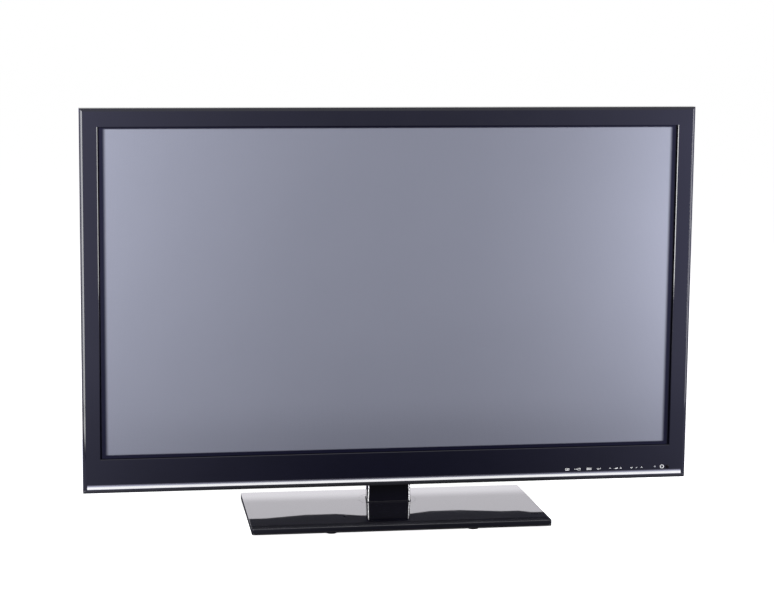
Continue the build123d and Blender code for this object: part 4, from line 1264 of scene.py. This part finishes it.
@dataclass
class Studio:
    """White room with its places in metres: world, floor, cards, lamps and camera."""

    ambient: float = 0.06
    floor_half: float = 12.0
    floor_z: float = -0.4 * MM
    floor_white: float = 0.80
    floor_bounce: float = 0.03
    camera_lift: float = 0.95
    sheen: FloorSheen = FloorSheen()
    sheen_tint: Triple = (0.90, 0.90, 1.18)
    lens: float = 105.85
    sensor: float = 36.0
    clip: Pair = (0.05, 100.0)
    eye: Triple = (-0.58003, -3.52006, 0.92254)
    yaw: float = 9.186
    pitch: float = 9.150
    roll: float = 0.556
    # A line card gives the bright line on the named side of the opening, which mirrors the
    # other side of the room. The foot card goes on below the left lamp in the rim's mirror.
    cards: list[MirrorCard] = field(default_factory=lambda: [
        MirrorCard(
            "rear_card", ((-3.0, 0.6, 0.0), (3.0, 0.6, 0.0), (3.0, 0.6, 0.6), (-3.0, 0.6, 0.6)),
            1.42, 0.92, tint=(0.985, 0.965, 1.02),
        ),
        flat_card("left_floor_card", (-1.12, -0.66), (-0.80, -0.34), 10.0),
        upright_card("left_foot_card", (-1.037, -0.568), (-0.823, -0.832), 0.12, 10.2),
        upright_card("left_line_card", (1.563, -1.096), (1.277, -1.504), 0.46, 12.0),
        upright_card("right_line_card", (-1.039, -1.791), (-0.847, -1.935), 0.50, 20.0),
    ])
    lamps: list[Softbox] = field(default_factory=lambda: [
        Softbox("left_box", (-0.93, -0.70, 0.42), (0.0, 0.05, 0.44), 0.34, 0.60, 10.2),
        Softbox("left_edge_box", (-1.16, -0.52, 0.36), (0.0, 0.05, 0.40), 0.20, 0.70, 4.0),
        Softbox("left_fill", (-1.00, -0.40, 0.85), (-0.2, 0.00, 0.50), 0.35, 0.40, 14.0, False),
        Softbox("right_fill", (0.95, -0.28, 0.50), (0.3, 0.00, 0.48), 0.30, 0.45, 24.0, False),
        Softbox("right_box", (1.19, -0.40, 0.17), (0.3, 0.00, 0.30), 0.20, 0.36, 4.6),
        Softbox("right_high_box", (1.19, -0.40, 0.50), (0.3, 0.00, 0.50), 0.20, 0.30, 6.2),
        Softbox("top_fill", (0.0, -1.00, 1.50), (0.0, 0.00, 0.60), 0.80, 0.40, 3.2, False),
        Softbox("rear_box", (0.5, 2.4, 1.7), (0.0, 0.1, 0.3), 1.6, 1.2, 3.0),
    ])

    def build_world(self) -> None:
        """Builds the world: white to the camera, in gloss and in glass, and softer as light."""
        world = bpy.data.worlds.new("studio_world")
        bpy.context.scene.world = world
        world.use_nodes = True
        bench = Bench(world.node_tree)
        rays = bench.add("ShaderNodeLightPath").outputs
        seen = bench.math("MAXIMUM", rays["Is Camera Ray"], bench.shiny(rays))
        soft, white = (
            bench.add("ShaderNodeBackground", {0: (1.0, 1.0, 1.0, 1.0), 1: level}).outputs[0]
            for level in (self.ambient, 1.0)
        )
        mix = bench.add("ShaderNodeMixShader", {0: seen, 1: soft, 2: white})
        bench.add("ShaderNodeOutputWorld", {"Surface": mix.outputs[0]})

    def build_floor(self) -> None:
        """Builds the pale floor, which looks white to the camera but keeps the shadow."""
        s, z = self.floor_half, self.floor_z
        material, bench = new_material("floor_paper")
        rays = bench.add("ShaderNodeLightPath").outputs
        grey, pale = (self.floor_bounce,) * 3, (self.floor_white,) * 3
        tone = bench.blend(rays["Is Camera Ray"], grey, pale)
        paper = bench.add("ShaderNodeBsdfDiffuse", {"Color": tone})
        lift = bench.math("MULTIPLY", rays["Is Camera Ray"], self.camera_lift)
        glow = bench.add("ShaderNodeEmission", {"Strength": lift})
        lit = bench.add("ShaderNodeAddShader", {0: paper.outputs[0], 1: glow.outputs[0]})
        tint = (*self.sheen_tint, 1.0)
        sheen = bench.add("ShaderNodeEmission", {0: tint, 1: self.sheen.build(bench)})
        shares = {0: bench.shiny(rays), 1: lit.outputs[0], 2: sheen.outputs[0]}
        mix = bench.add("ShaderNodeMixShader", shares)
        bench.add("ShaderNodeOutputMaterial", {"Surface": mix.outputs[0]})
        floor = new_sheet("floor", ((-s, -s, z), (s, -s, z), (s, s, z), (-s, s, z)), material)

    def build_camera(self) -> None:
        """Builds the camera: turned by the yaw, tipped by the pitch and rolled."""
        yaw, pitch, roll = (math.radians(a) for a in (self.yaw, self.pitch, self.roll))
        ahead = Vector(
            (math.sin(yaw) * math.cos(pitch), math.cos(yaw) * math.cos(pitch), -math.sin(pitch))
        )
        level = Vector((math.cos(yaw), -math.sin(yaw), 0.0))
        over = level.cross(ahead)
        right = level * math.cos(roll) + over * math.sin(roll)
        up = over * math.cos(roll) - level * math.sin(roll)
        data = bpy.data.cameras.new("camera")
        data.lens = self.lens
        data.sensor_width = self.sensor
        data.clip_start, data.clip_end = self.clip
        camera = new_object("camera", data)
        turn = Matrix((right, up, -ahead)).transposed().to_4x4()
        camera.matrix_world = Matrix.Translation(self.eye) @ turn
        bpy.context.scene.camera = camera

    def build(self) -> None:
        """Builds the whole studio."""
        scene = bpy.context.scene
        scene.view_settings.view_transform = "Standard"
        self.build_camera()
        self.build_world()
        self.build_floor()
        for card in self.cards:
            card.build()
        for lamp in self.lamps:
            lamp.build()
        log.info("studio: white room with %d lamps", len(self.lamps))


def dress_nodes() -> None:
    """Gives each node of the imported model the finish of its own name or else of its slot."""
    by_slot = {finish.name: finish for finish in SLOT_FINISHES} | SHARED_FINISHES
    slots = {part["node"]: part["material_slot"] for part in frame["record"]["subparts"]}
    for name, node in frame["nodes"].items():
        finish = NODE_FINISHES.get(name) or by_slot[slots[name]]
        node.data.materials.clear()
        node.data.materials.append(finish.make())
        log.info("%s: %s", name, finish.name)


def main() -> None:
    """Builds the studio, dresses the nodes and adds the new pieces."""
    logging.basicConfig(level=logging.INFO, format="%(message)s")
    Studio().build()
    dress_nodes()
    ScreenEdge().build()
    FrontMarks().build()
    SensorEye().build()
    NeckTrim().build()
    JackRings().build()
    RearScrews().build()


if __name__ == "__main__":
    main()
